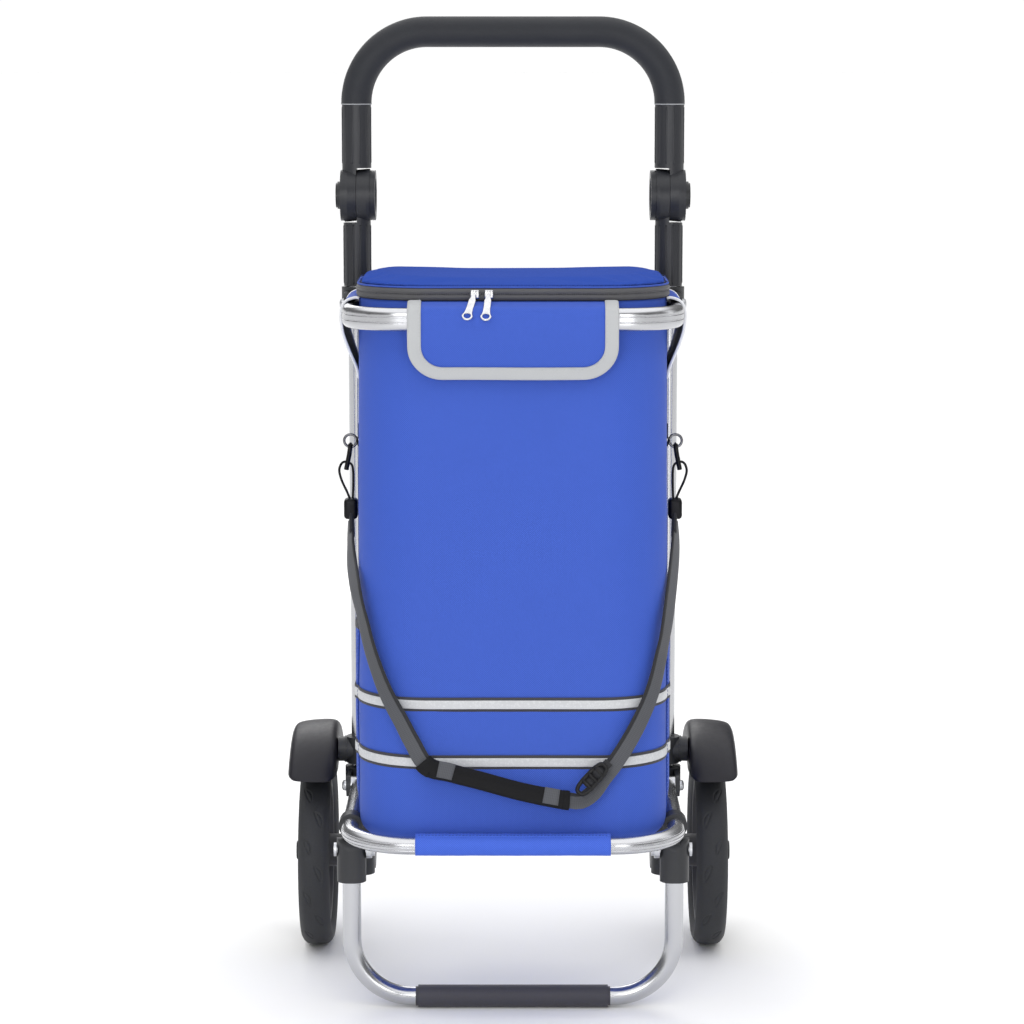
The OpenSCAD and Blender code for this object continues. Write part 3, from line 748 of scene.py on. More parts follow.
def on_bag(s, z, lift=0.0):
    """A point on the finished bag's outer face and its outward normal."""
    x, d, nx, nd = outline(bag_half(z), bag_front(z), s)
    x = narrowed(x, d, z)
    normal = Vector((nx, nd, 0.0))
    start = P(x, d, z) + normal * 0.03
    hit, _, _, _ = BAG_TREE["outer"].ray_cast(start, -normal, 0.08)
    point = hit if hit is not None else P(x, d, z)
    return point + normal * lift * MM, normal


def bag_line(places):
    """Points and normals on the bag for (s, z, lift) places."""
    found = [on_bag(*spot) for spot in places]
    return [point for point, _ in found], [normal for _, normal in found]


# ---- bag ----


def make_bag():
    columns, rows, uvs = 132, [], []
    heights = [BAG_BOTTOM + h for h in (0.3, 1.4, 3.4, 6.0, 9.5, 14.0)]
    heights += list(np.linspace(BAG_BOTTOM + BASE_R, BAG_RIM, 56))
    for z in heights:
        half, front = bag_half(z), bag_front(z)
        total = half_round(half, front)
        row, row_uv = [], []
        for j in range(columns):
            share = -1 + 2 * j / columns
            x, d, nx, nd = outline(half, front, share * total)
            tall = math.sin(math.pi * min(1.0, max(0.0, (z - BAG_BOTTOM) / (BAG_RIM - BAG_BOTTOM))))
            soft = noise.noise(Vector((x * 0.011, d * 0.011, z * 0.008))) * 1.6
            soft += noise.noise(Vector((x * 0.03, d * 0.03 + 9, z * 0.02))) * 0.6
            out = soft * tall
            row.append(P(narrowed(x, d, z) + nx * out, d + nd * out, z))
            row_uv.append((share * total * MM, z * MM))
        rows.append(row)
        uvs.append(row_uv)
    bag = grid("bag_body", rows, "cloth", uvs, wrap_columns=True)
    modifier(bag, "SUBSURF", levels=1, render_levels=1)
    settle(bag)
    graph = bpy.context.evaluated_depsgraph_get()
    bpy.context.view_layer.update()
    BAG_TREE["outer"] = BVHTree.FromObject(bag, graph)
    bag.data.materials.append(MATERIALS["lining"])
    thicken(bag, 2.4, offset=-1, material_offset=1)
    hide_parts("bag_shell")
    on_frame(bag)
    make_bag_base()
    make_base_board()


RING = 96


def floor_rings(half, front, corners, back, middle, levels):
    """Rings of (x, d, z) places: the outline drawn in towards a middle depth, one for each (inset, height)."""
    total = half_round(half, front, *corners, back)
    rings = []
    for inset, z in levels:
        rings.append([])
        for j in range(RING):
            x, d, _, _ = outline(half, front, (-1 + 2 * j / RING) * total, *corners, back)
            toward = Vector((0, middle)) - Vector((x, d))
            move = toward.normalized() * min(inset, toward.length)
            rings[-1].append((x + move.x, d + move.y, z))
    return rings


def make_bag_base():
    """The bag's bottom panel, with its corners turned up into the wall."""
    levels = ((0.5, 188.2), (3.0, 187.0), (10, 186.4), (40, 186.2), (90, 186.2), (120, 186.2))
    rings = floor_rings(BAG_HALF - 15, FRONT_LOW - 14, (FRONT_R - 10, BACK_R - 6), BAG_BACK, -155, levels)
    rows = [[P(*p) for p in ring] for ring in rings]
    uvs = [[(x * MM, d * MM) for x, d, _ in ring] for ring in rings]
    base = grid("bag_base", rows, "cloth", uvs, wrap_columns=True)
    last = (len(rows) - 1) * RING
    mesh = base.data
    work = bmesh.new()
    work.from_mesh(mesh)
    work.verts.ensure_lookup_table()
    work.faces.new([work.verts[last + j] for j in range(RING)])
    work.to_mesh(mesh)
    work.free()
    thicken(base, 1.2, offset=1)
    return on_frame(base)


def make_base_board():
    """The stiff board in the bag's bottom, with rounded corners and eased edges."""
    low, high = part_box("base_board")
    half, front, back = high[0] / MM, (RAIL_Y - low[1]) / MM, (RAIL_Y - high[1]) / MM
    levels = [(inset, z / MM) for inset, z in (
        (90, low[2]), (0.8, low[2]), (0.0, low[2] + 0.8 * MM), (0.0, high[2] - 0.8 * MM), (0.8, high[2]),
        (90, high[2]))]
    rings = floor_rings(half, front, (FRONT_R - 12, BACK_R - 4), back, -(front + back) / 2, levels)
    rows = [[P(*p) for p in ring] for ring in rings]
    board = grid("base_board_panel", rows, "board", wrap_columns=True, caps=True)
    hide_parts("base_board")
    on_frame(board, "base_board")


def make_bands():
    """Two reflective bands round the front and over the side pockets, each a white tape on a dark edging."""
    for name, middle in (("lower", 273.5), ("upper", 331.0)):
        end = s_of_depth(-62, middle)
        pocket = s_of_depth(-202, middle)
        for part, width, thick, lift, material in (
                ("edging", 14.6, 0.9, 0.4, "band_edge"), ("tape", 8.8, 0.9, 0.9, "band")):
            path, hints = bag_line((s, middle, lift + 3.6 * smooth_step((abs(s) - pocket + 4) / 10))
                                   for s in np.linspace(-end, end, 150))
            piece = sweep(f"band_{name}_{part}", path, flat_profile(width, thick), material, hints=hints)
            if name == "lower" and part == "edging":
                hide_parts("reflective_bands")
            on_frame(piece, "reflective")


POCKET_LOW, POCKET_TOP = 205, 402
POCKET_FRONT, POCKET_BACK = -204, -60


def smooth_step(t):
    t = min(1.0, max(0.0, t))
    return t * t * (3 - 2 * t)


def make_pockets():
    """Side pockets: a full panel, sewn flat on three edges and bound with black elastic along its mouth."""
    for name, side in SIDES:
        rows, uvs = [], []
        levels = np.linspace(POCKET_LOW, POCKET_TOP, 34)
        for z in levels:
            a, b = s_of_depth(POCKET_FRONT, z), s_of_depth(POCKET_BACK, z)
            row, row_uv = [], []
            for s in np.linspace(a, b, 26):
                u = (s - a) / (b - a)
                v = (z - POCKET_LOW) / (POCKET_TOP - POCKET_LOW)
                full = min(1.0, 9 * u) * min(1.0, 9 * (1 - u)) * min(1.0, 7 * v)
                ripple = 0.35 * math.sin(u * 21 + v * 3) * v
                lift = 0.4 + smooth_step(full) * (2.9 + ripple)
                point, _ = on_bag(side * s, z, lift)
                row.append(point)
                row_uv.append((s * MM, z * MM))
            rows.append(row)
            uvs.append(row_uv)
        pocket = grid(f"side_pocket_{name}", rows, "cloth", uvs)
        thicken(pocket, 0.9, offset=side)
        if name == "left":
            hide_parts("side_pockets")
        on_frame(pocket)
        places = []
        a, b = s_of_depth(POCKET_FRONT, POCKET_TOP), s_of_depth(POCKET_BACK, POCKET_TOP)
        for s in np.linspace(a, b, 30):
            u = (s - a) / (b - a)
            full = smooth_step(min(1.0, 9 * u) * min(1.0, 9 * (1 - u)))
            places.append((side * s, POCKET_TOP - 2, 0.6 + full * 3.0))
        mouth, normals = bag_line(places)
        elastic = sweep(f"pocket_binding_{name}", mouth, flat_profile(9, 2.2), "band_edge", hints=normals)
        on_frame(elastic)
        for k, s_edge in enumerate((a + 2.5, b - 2.5)):
            heights = np.linspace(POCKET_LOW + 3, POCKET_TOP - 8, 50)
            path, ups = bag_line((side * s_edge, z, 1.7) for z in heights)
            row = stitches(f"pocket_stitches_{name}_{k}", path, ups, "thread")
            on_frame(row)


# ---- lid and zip ----


def rim_path(z, out, end, count):
    """Places round the bag's rim, out millimetres outside it, from -end to end of its outline."""
    path, normals = [], []
    for s in np.linspace(-end, end, count):
        x, d, nx, nd = outline(BAG_HALF, FRONT_TOP, s)
        path.append(P(narrowed(x, d, z) + nx * out, d + nd * out, z))
        normals.append(Vector((nx, nd, 0)))
    return path, normals


ZIP_END = half_round(BAG_HALF, FRONT_TOP) - BAG_HALF - 6


def make_zip():
    """Coated tapes that meet over the zip, one on the bag and one on the lid, with near-black tubes along their
    outer edges as painted shade in the creases, and teeth.
    """
    for part, z, body in (("lower", ZIP_Z - 3.0, "frame"), ("upper", ZIP_Z + 2.7, "bag_lid")):
        path, normals = rim_path(z, 1.0, ZIP_END, 170)
        cover = sweep(f"zip_cover_{part}", path, cover_profile(5.6, 3.4), "zip", hints=normals)
        if part == "lower":
            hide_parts("zip_tape")
        place(cover, body, "zip_grey", squash=True)
        away = -1 if part == "lower" else 1
        # A thin near-black tube along the cover's outer edge: painted shade in the crease.
        path, normals = rim_path(z + away * 3.1, 0.8, ZIP_END, 170)
        edge = sweep(f"zip_crease_shade_{part}", path, round_profile(0.7, 8), "zip_crease_shade", hints=normals)
        place(edge, body, "zip_grey", squash=True)
        path, normals = rim_path(ZIP_Z + away * 0.55, 1.6, ZIP_END, 400)
        teeth = stitches(f"zip_teeth_{part}", path, normals, "teeth", pitch=2.2, length=1.3, width=1.3,
                         lift=0.4)
        place(teeth, body, "zip_metal", squash=True)


def cover_profile(tall, thick):
    """Section of a puffy tape: thick outwards, tall up and down, with two soft ridges."""
    points = []
    for i in range(20):
        a = math.tau * i / 20
        ridge = 1 + 0.12 * math.cos(4 * a)
        points.append((thick / 2 * ridge * eased(math.cos(a), 0.7),
                       tall / 2 * eased(math.sin(a), 0.8)))
    return points


def make_lid_hinge():
    """The strip of cloth behind the rim that the lid swings on."""
    hinge = [P(x, -BAG_BACK - 0.6, BAG_RIM + 4.5) for x in np.linspace(-BAG_HALF + 24, BAG_HALF - 24, 80)]
    strip = sweep("lid_hinge", hinge, flat_profile(18.5, 1.8), "cloth", hint=(0, 1, 0))
    on_frame(strip)
    for k, z in enumerate((BAG_RIM - 2.2, BAG_RIM + 10.8)):
        seam = [Vector((p.x, p.y + 1.0 * MM, z * MM)) for p in hinge]
        row = stitches(f"lid_hinge_stitches_{k}", seam, [Vector((0, 1, 0))] * len(seam), "thread")
        on_frame(row)


def make_lid():
    """A padded lid: a crowned pad blown up as cloth over a flat underside."""
    half, front = BAG_HALF + 0.6, FRONT_TOP + 1.0
    total = half_round(half, front)
    shape = ((0.3, 0.2), (0.6, 3.6), (2.6, 6.4), (7.0, 8.0), (18, 8.6))
    rows = []
    for inset, rise in shape:
        row, z = [], LID_Z + rise
        for j in range(120):
            x, d, nx, nd = outline(half, front, (-1 + 2 * j / 120) * total)
            x = narrowed(x, d, z) - nx * inset
            sag = 2.6 * (1 - min(1.0, abs(x) / 130) ** 2) * smooth_step((z - LID_Z - 3) / 4)
            row.append(P(x, d - nd * inset, z - sag))
        rows.append(row)
    # The lid's darker blue is painted shade on its top face.
    lid = grid("lid_pad", rows, "cloth_lid_painted_shade", wrap_columns=True, caps=True)
    modifier(lid, "REMESH", mode="VOXEL", voxel_size=0.0045)
    settle(lid)
    floor_z = (LID_Z + 2.6) * MM
    height = np.array([v.co.z for v in lid.data.vertices])
    puff(lid, 3.2, 2.6, pinned=height < floor_z)
    modifier(lid, "SMOOTH", factor=0.5, iterations=3)
    modifier(lid, "SUBSURF", levels=1, render_levels=1)
    settle(lid)
    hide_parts("lid")
    place(lid, "bag_lid", "bag_cloth", squash=True)
    path, normals = rim_path(LID_Z + 0.8, 0.9, total * 0.999, 220)
    piping = sweep("lid_piping", path, round_profile(1.0, 10), "cloth", hints=normals)
    place(piping, "bag_lid", "bag_cloth", squash=True)
    path, normals = rim_path(LID_Z + 3.0, 0.9, total * 0.999, 260)
    row = stitches("lid_stitches", path, normals, "thread", lift=0.3)
    place(row, "bag_lid", "bag_cloth", squash=True)


SLIDER_D = -(FRONT_TOP + 4.2)
PULL_D = SLIDER_D - 6.4
PULL_Z = ZIP_Z + 2
PULL_LEAN = 47
PULL_LENGTH = 32


def make_pulls():
    """Zip sliders and their pull tabs, with rounded shapes over the CAD's plain ones."""
    for name, x, lean in (("left", -38, 13), ("right", -24, 5)):
        slider = rounded_box(f"zip_slider_{name}", P(x, SLIDER_D, ZIP_Z), (9.2, 4.6, 9.0), 1.6, "chrome")
        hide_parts(f"slider_{name}")
        place(slider, f"zip_{name}", "zip_metal", squash=True)
        arch = [P(x, SLIDER_D - out, ZIP_Z + up) for out, up in
                ((1.6, 4.0), (4.6, 3.9), (5.2, 1.5), (4.6, -1.5), (1.6, -3.4))]
        bridge = sweep(f"slider_bridge_{name}", smooth_path(arch, 0.7), flat_profile(3.0, 1.2), "chrome",
                       hint=(0, -1, 0))
        place(bridge, f"zip_{name}", "zip_metal", squash=True)
        tab = pull_tab(f"zip_pull_{name}", x, lean)
        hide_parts(f"pull_{name}")
        place(tab, f"tab_{name}", "zip_metal", squash=True)


def pull_tab(name, x, lean):
    """A flat tab that widens downwards, with a round hole near its end."""
    outer, inner = [], []
    end, eye_r = PULL_LENGTH, 3.5
    for i in range(40):
        a = math.tau * (i / 40)
        outer.append(tab_edge(a, end))
        inner.append((eye_r * math.cos(a), -end + eye_r * math.sin(a)))
    tilt = Matrix.Rotation(math.radians(-PULL_LEAN), 3, "X") @ Matrix.Rotation(math.radians(lean), 3, "Y")
    origin = P(x, PULL_D, PULL_Z)
    thick = 0.8
    points, rings = [], []
    for depth, shrink in ((thick, 0.45), (thick * 0.6, 0.0), (-thick * 0.6, 0.0), (-thick, 0.45)):
        rings.append([tab_point(p, depth, shrink, end) for p in outer])
    for depth, shrink in ((-thick, -0.3), (-thick * 0.6, 0.0), (thick * 0.6, 0.0), (thick, -0.3)):
        scale = 1 - shrink / eye_r
        rings.append([(px * scale, depth, -end + (pz + end) * scale) for px, pz in inner])
    for ring in rings:
        for px, pd, pz in ring:
            points.append(origin + tilt @ Vector((px * MM, pd * MM, pz * MM)))
    faces = grid_faces(len(rings), 40, wrap_rows=True, wrap_columns=True)
    return add_mesh(name, points, faces, "chrome")


def tab_edge(angle, end):
    """The tab's outline seen from its eye: round below, tapering to a narrow top."""
    x, z = math.cos(angle), math.sin(angle)
    if z <= 0:
        return (5.5 * x, -end + 5.5 * z)
    reach = min((end + 1.5) / max(z, 1e-6), 1e6)
    taper = 5.5 - 2.1 * min(1.0, z * 1.02)
    side = taper / max(abs(x), 1e-6)
    k = min(reach, max(side, 0))
    return (x * k, -end + z * k)


def tab_point(p, depth, shrink, end):
    x, z = p
    away = Vector((x, z + end * 0.6))
    scale = 1 - shrink / max(away.length, 1.0)
    return (away.x * scale, depth, away.y * scale - end * 0.6)


def rounded_box(name, centre, size, radius, material):
    """A box with rounded edges, size in millimetres."""
    sx, sy, sz = (v * MM / 2 for v in size)
    corners = [(x, y, z) for x in (-sx, sx) for y in (-sy, sy) for z in (-sz, sz)]
    faces = [(0, 1, 3, 2), (4, 6, 7, 5), (0, 4, 5, 1), (2, 3, 7, 6), (0, 2, 6, 4), (1, 5, 7, 3)]
    obj = add_mesh(name, [centre + Vector(c) for c in corners], faces, material)
    modifier(obj, "BEVEL", width=radius * MM, segments=4)
    return settle(obj)


# ---- flaps ----

FLAP_HALF = 104.5
FLAP_BOTTOM = 655
FLAP_R = 35


def flap_run():
    """The flap's section from under the zip, over the hoop and down its front: (depth, height) pairs."""
    over = HOOP_REACH
    run = [(-FRONT_TOP - 3.0, 731.5), (-FRONT_TOP - 8, 731.8), (-FRONT_TOP - 13, 731.2), (-over, 729.4)]
    for a in np.linspace(100, 180, 7):
        run.append((-over + 9.3 * math.cos(math.radians(a)), 719.7 + 9.6 * math.sin(math.radians(a))))
    run += [(-over - out, z) for out, z in
            ((9.4, 712), (9.0, 701), (7.4, 690), (4.4, 679), (0.8, 667), (-2.6, FLAP_BOTTOM))]
    return run


class Run:
    """A section curve that can be read by its length."""

    def __init__(self, points):
        self.path = smooth_path([P(0, d, z) for d, z in points], 1.5)
        self.marks = [0.0]
        for p, q in zip(self.path, self.path[1:]):
            self.marks.append(self.marks[-1] + (q - p).length / MM)
        self.length = self.marks[-1]

    def at(self, v):
        """The point and outward normal v millimetres along."""
        v = min(max(v, 0.0), self.length)
        i = min(int(np.searchsorted(self.marks, v, side="right")) - 1, len(self.path) - 2)
        i = max(i, 0)
        t = (v - self.marks[i]) / max(self.marks[i + 1] - self.marks[i], 1e-9)
        ahead = (self.path[i + 1] - self.path[i]).normalized()
        return self.path[i].lerp(self.path[i + 1], t), Vector((1, 0, 0)).cross(ahead) * -1


def make_front_flap():
    run = Run(flap_run())
    length = run.length

    def on_flap(x, v, lift):
        point, out = run.at(v)
        wave = 0.5 * math.sin(x * 0.045 + 0.6) * smooth_step((v - 45) / 60)
        if out.y > 0:
            out = -out
        return point + Vector((x * MM, 0, 0)) + out * (lift + wave) * MM

    def half_width(v):
        into = v - (length - FLAP_R)
        if into <= 0:
            return FLAP_HALF
        return FLAP_HALF - FLAP_R + math.sqrt(max(FLAP_R ** 2 - into ** 2, 0.0))

    levels = list(np.linspace(0, length - FLAP_R, 26)) + [
        length - FLAP_R + FLAP_R * math.sin(a) for a in np.linspace(0, math.pi / 2, 12)[1:]]
    rows, uvs = [], []
    for v in levels:
        wide = half_width(v) - 0.8
        rows.append([on_flap(wide * u, v, 0.0) for u in np.linspace(-1, 1, 41)])
        uvs.append([(wide * u * MM, v * MM) for u in np.linspace(-1, 1, 41)])
    panel = grid("front_flap_panel", rows, "cloth", uvs)
    thicken(panel, 1.3, offset=1)
    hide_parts("front_flap")
    place(panel, "flap", "bag_cloth")

    edge = [(-FLAP_HALF, v) for v in np.linspace(0, length - FLAP_R, 40)]
    edge += [(-FLAP_HALF + FLAP_R - FLAP_R * math.cos(a), length - FLAP_R + FLAP_R * math.sin(a))
             for a in np.linspace(0, math.pi / 2, 16)[1:]]
    edge += [(x, length) for x in np.linspace(-FLAP_HALF + FLAP_R, FLAP_HALF - FLAP_R, 50)[1:]]
    edge += [(-x, v) for x, v in reversed(edge[:54])]
    tape = 13.2
    section = ((tape, -0.9), (tape * 0.5, -1.0), (1.2, -1.1), (0.0, -0.4), (-0.5, 0.4), (0.0, 1.3),
               (1.2, 1.9), (3.5, 2.1), (tape * 0.5, 2.15), (tape - 1.5, 2.1), (tape - 0.2, 1.85), (tape, 1.3))
    rows, uvs, rows_in, ups = [], [], [], []
    along = 0.0
    for i, (x, v) in enumerate(edge):
        ahead = Vector(edge[min(i + 1, len(edge) - 1)]) - Vector(edge[max(i - 1, 0)])
        inward = Vector((-ahead.y, ahead.x)).normalized()
        centre = Vector((0, length * 0.4))
        if inward.dot(centre - Vector((x, v))) < 0:
            inward = -inward
        if i:
            along += math.dist(edge[i - 1], (x, v))
        row, row_uv = [], []
        for inset, lift in section:
            place_at = Vector((x, v)) + inward * inset
            row.append(on_flap(place_at.x, place_at.y, lift))
            row_uv.append((along * MM, inset * MM))
        rows.append(row)
        uvs.append(row_uv)
        spot = Vector((x, v)) + inward * (tape - 1.8)
        rows_in.append(on_flap(spot.x, spot.y, 2.2))
        ups.append((on_flap(spot.x, spot.y, 3.2) - rows_in[-1]).normalized())
    binding = grid("front_flap_binding", rows, "binding", uvs, wrap_columns=True, caps=True)
    place(binding, "flap", "bag_cloth")
    seam = stitches("front_flap_stitches", rows_in, ups, "thread_light", pitch=3.6, length=2.4, width=0.45,
                    lift=0.1)
    place(seam, "flap", "bag_cloth")


def make_side_flaps():
    """Cloth from the rim out over the hoop's side tube and back in below it, edged with white piping."""
    section = [(BAG_HALF - 1, 731), (159, 731.8), (164, 730.8), (169, 728.6), (173.0, 724), (174.6, 717),
               (174.6, 708), (173.4, 698), (170.6, 687), (166.6, 675), (162.4, 664), (159.4, 655),
               (158.4, 648)]
    for name, side in SIDES:
        base = smooth_path([P(side * x, 0, z) for x, z in section], 2.5)
        rows, uvs, edges = [], [], ([], [])
        along = 0.0
        for i, point in enumerate(base):
            if i:
                along += (point - base[i - 1]).length
            share = i / (len(base) - 1)
            first = -172 + 26 * smooth_step((share - 0.35) / 0.65)
            last = -56 - 22 * smooth_step((share - 0.35) / 0.65)
            row = [point + Vector((0, d * MM, 0)) for d in np.linspace(first, last, 20)]
            rows.append(row)
            uvs.append([(d * MM, along) for d in np.linspace(first, last, 20)])
            edges[0].append(row[0])
            edges[1].append(row[-1])
        outward = [row[::-side] for row in rows]
        flap = grid(f"side_flap_{name}", outward, "cloth", [row[::-side] for row in uvs])
        flap.data.materials.append(MATERIALS["lining"])
        thicken(flap, 1.3, offset=0, material_offset=1)
        if name == "left":
            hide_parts("side_flaps")
        on_frame(flap)
        end = rows[-1]
        border = edges[0] + end[1:-1] + edges[1][::-1]
        piping = sweep(f"side_flap_piping_{name}", border, round_profile(1.5, 10), "piping",
                       hint=(side, 0, 0.3))
        on_frame(piping)


def make_sleeve():
    """Cloth sewn round the platform's front tube, with a stitched hem that runs back to the bag."""
    section, girth_r = [], 9.6
    for a in np.linspace(100, 440, 40):
        angle = math.radians(a)
        section.append((-PLATFORM_REACH + girth_r * math.cos(angle), PLATFORM_Z + girth_r * math.sin(angle)))
    half = 97.5
    rows, uvs = [], []
    along = 0.0
    for i, (d, z) in enumerate(section):
        if i:
            along += math.dist(section[i - 1], (d, z))
        row = []
        for x in np.linspace(-half, half, 60):
            pucker = 0.18 * noise.noise(Vector((x * 0.09, d * 0.1, z * 0.1)))
            away = Vector((d + PLATFORM_REACH, z - PLATFORM_Z)).normalized()
            row.append(P(x, d + away.x * pucker, z + away.y * pucker))
        rows.append(row)
        uvs.append([(x * MM, along * MM) for x in np.linspace(-half, half, 60)])
    sleeve = grid("platform_sleeve", rows, "cloth_sleeve", uvs)
    thicken(sleeve, 0.9, offset=0)
    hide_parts("hoop_sleeve")
    place(sleeve, "platform", "bag_cloth")
    hem_rows, hem_uv = [], []
    hem_line = ((-303, 203.2), (-300.5, 204.2), (-297, 204.7), (-293.5, 204.2), (-290, 202.6))
    for k, (d, z) in enumerate(hem_line):
        hem_rows.append([P(x, d, z) for x in np.linspace(-half, half, 60)])
        hem_uv.append([(x * MM, k * 3.4 * MM) for x in np.linspace(-half, half, 60)])
    hem = grid("sleeve_hem", hem_rows, "cloth_sleeve", hem_uv)
    thicken(hem, 1.3, offset=0)
    place(hem, "platform", "bag_cloth")
    for k, (d, z) in enumerate(((-301.0, 204.7), (-292.4, 204.6))):
        path = [P(x, d, z) for x in np.linspace(-half + 2, half - 2, 60)]
        row = stitches(f"sleeve_stitches_{k}", path, [Vector((0, -0.5, 0.9))] * 60, "thread", pitch=3.4,
                       length=2.2, width=0.5, lift=0.1)
        place(row, "platform", "bag_cloth")


# ---- shoulder strap ----

STRAP_ROUTE = [
    (-167, -150, 502), (-167, -161, 486), (-165.5, -179, 465), (-159, -220, 439),
    (-151, -238, 410), (-143, -252, 382), (-132, -264, 353), (-122, -272, 333),
    (-112, -278, 316), (-101, -284, 296), (-86, -290, 273), (-62, -292, 266),
    (-30, -294, 258), (5, -296, 249), (38, -297, 242), (56, -296, 239),
    (68, -294, 238), (80, -292, 246), (90, -290, 260), (102, -286, 275),
    (115, -280, 294), (128, -270, 316), (140, -258, 342), (149, -244, 375),
    (157, -228, 415), (166.5, -172, 473), (167, -150, 502)]
STRAP_FACING = [
    180, 178, 176, 170, 162, 154, 146, 138,
    130, 118, 104, 97, 92, 90, 88, 86,
    84, 80, 74, 68, 60, 52, 42, 32,
    22, 8, 0]
SLIDER_ENDS = ((66, -303, 249), (91, -299, 275))
STRAP_W = 16.6
STRAP_T = 2
STRAP_TILT = 35


def strap_line(first, last, step=5.0):
    """The strap's centreline from one route point to another, and the way that its face looks."""
    route = [P(*p) for p in STRAP_ROUTE]
    path = smooth_path(route, step)
    faces = []
    for i in range(len(route) - 1):
        count = max(2, round((route[i + 1] - route[i]).length / (step * MM)))
        for k in range(count):
            faces.append(STRAP_FACING[i] + (STRAP_FACING[i + 1] - STRAP_FACING[i]) * k / count)
    faces.append(STRAP_FACING[-1])
    marks = [0]
    for i in range(len(route) - 1):
        marks.append(marks[-1] + max(2, round((route[i + 1] - route[i]).length / (step * MM))))
    ends = []
    for v in (first, last):
        at, after = marks[int(v)], marks[min(int(v) + 1, len(marks) - 1)]
        ends.append(at + round((v - int(v)) * (after - at)))
    low, high = ends
    tilt = math.radians(STRAP_TILT)
    hints = []
    for angle in faces[low:high + 1]:
        a = math.radians(angle)
        hints.append(Vector((math.cos(a) * math.cos(tilt), -math.sin(a) * math.cos(tilt), math.sin(tilt))))
    return path[low:high + 1], hints


def lifted(path, hints, lift):
    made = []
    for i, (point, hint) in enumerate(zip(path, hints)):
        ahead = (path[min(i + 1, len(path) - 1)] - path[max(i - 1, 0)]).normalized()
        out = (hint - ahead * hint.dot(ahead)).normalized()
        made.append(point + out * lift * MM)
    return made


def make_strap():
    path, hints = strap_line(0, 26)
    strap = sweep("strap", path, flat_profile(STRAP_W, STRAP_T), "strap", hints=hints)
    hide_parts("shoulder_strap")
    on_frame(strap, "strap_webbing")
    # A dark strip along one side of the strap's face: painted shade for the strap's edge seen side-on.
    sides = []
    for i, (point, hint) in enumerate(zip(path, hints)):
        ahead = (path[min(i + 1, len(path) - 1)] - path[max(i - 1, 0)]).normalized()
        sides.append(point + hint.cross(ahead).normalized() * (STRAP_W / 2 - 1.6) * MM + hint * 0.3 * MM)
    edge = sweep("strap_edge_painted_shade", sides, flat_profile(4.2, 2.6), "strap_dark", hints=hints)
    on_frame(edge, "strap_webbing")

    pad_path, pad_hints = strap_line(9.8, 15.0)
    profile = [(3.9 * eased(math.cos(a), 0.75) + 0.3, 10.0 * eased(math.sin(a), 0.55))
               for a in turn(24)]
    pad = sweep("strap_pad", pad_path, profile, "pad", hints=pad_hints)
    modifier(pad, "BEVEL", width=0.0012, segments=2, limit_method="ANGLE", angle_limit=math.radians(50))
    settle(pad)
    puff(pad, 1.2, 1.0, last=10)
    modifier(pad, "SMOOTH", factor=0.4, iterations=2)
    settle(pad)
    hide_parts("shoulder_pad")
    on_frame(pad, "pad_cloth")
    extras = [pad, edge]
    for k, (a, b) in enumerate(((10.55, 11.1), (13.75, 14.3))):
        part, part_hints = strap_line(a, b, 3.0)
        patch = sweep(f"pad_patch_{k}", lifted(part, part_hints, 4.6), flat_profile(17.5, 1.6), "strap",
                      hints=part_hints)
        on_frame(patch, "pad_cloth")
        extras.append(patch)
    for k, (a, b) in enumerate(((9.8, 10.2), (14.6, 15.0))):
        part, part_hints = strap_line(a, b, 2.0)
        wider = [(x * 1.04, y * 1.01) for x, y in profile]
        cuff = sweep(f"pad_cuff_{k}", part, wider, "pad", hints=part_hints)
        on_frame(cuff, "pad_cloth")
        extras.append(cuff)

    extras += make_strap_slider()
    extras += make_hooks()


def make_strap_slider():
    """Ladder-lock adjuster: a long oval frame with two bars, and the strap's end that runs through it."""
    low, high = (P(*p) for p in SLIDER_ENDS)
    middle, ahead = low.lerp(high, 0.5), (high - low).normalized()
    hint = strap_line(17.0, 18.0)[1][0]
    out = (hint - ahead * hint.dot(ahead)).normalized()
    across = ahead.cross(out)
    made, ring = [], []
    for a in turn(36):
        u = 18.5 * eased(math.cos(a), 0.7)
        v = 6.2 * eased(math.sin(a), 0.6)
        ring.append(middle + ahead * u * MM + across * v * MM)
    hoop = sweep("strap_slider_frame", ring, round_profile(2.2, 10), "buckle", hints=[out] * len(ring),
                 closed=True)
    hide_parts("strap_slider")
    made.append(hoop)
    for k, u in enumerate((-7.0, 1.5, 10.0)):
        bar = [middle + ahead * u * MM + across * v * MM + out * 1.0 * MM for v in (-6, -2, 2, 6)]
        made.append(sweep(f"strap_slider_bar_{k}", bar, round_profile(1.9, 10), "buckle", hint=out))
    ends = [(24, -5.0), (17, -3.0), (10, 1.6), (3, -1.6), (-5, -1.0), (-9, -3.4)]
    tail = smooth_path([middle + ahead * u * MM + out * w * MM for u, w in ends], 2.0)
    made.append(sweep("strap_return", tail, flat_profile(9.5, 1.8), "strap_dark", hint=out))
    for piece in made:
        on_frame(piece, "hook_black")
    return made


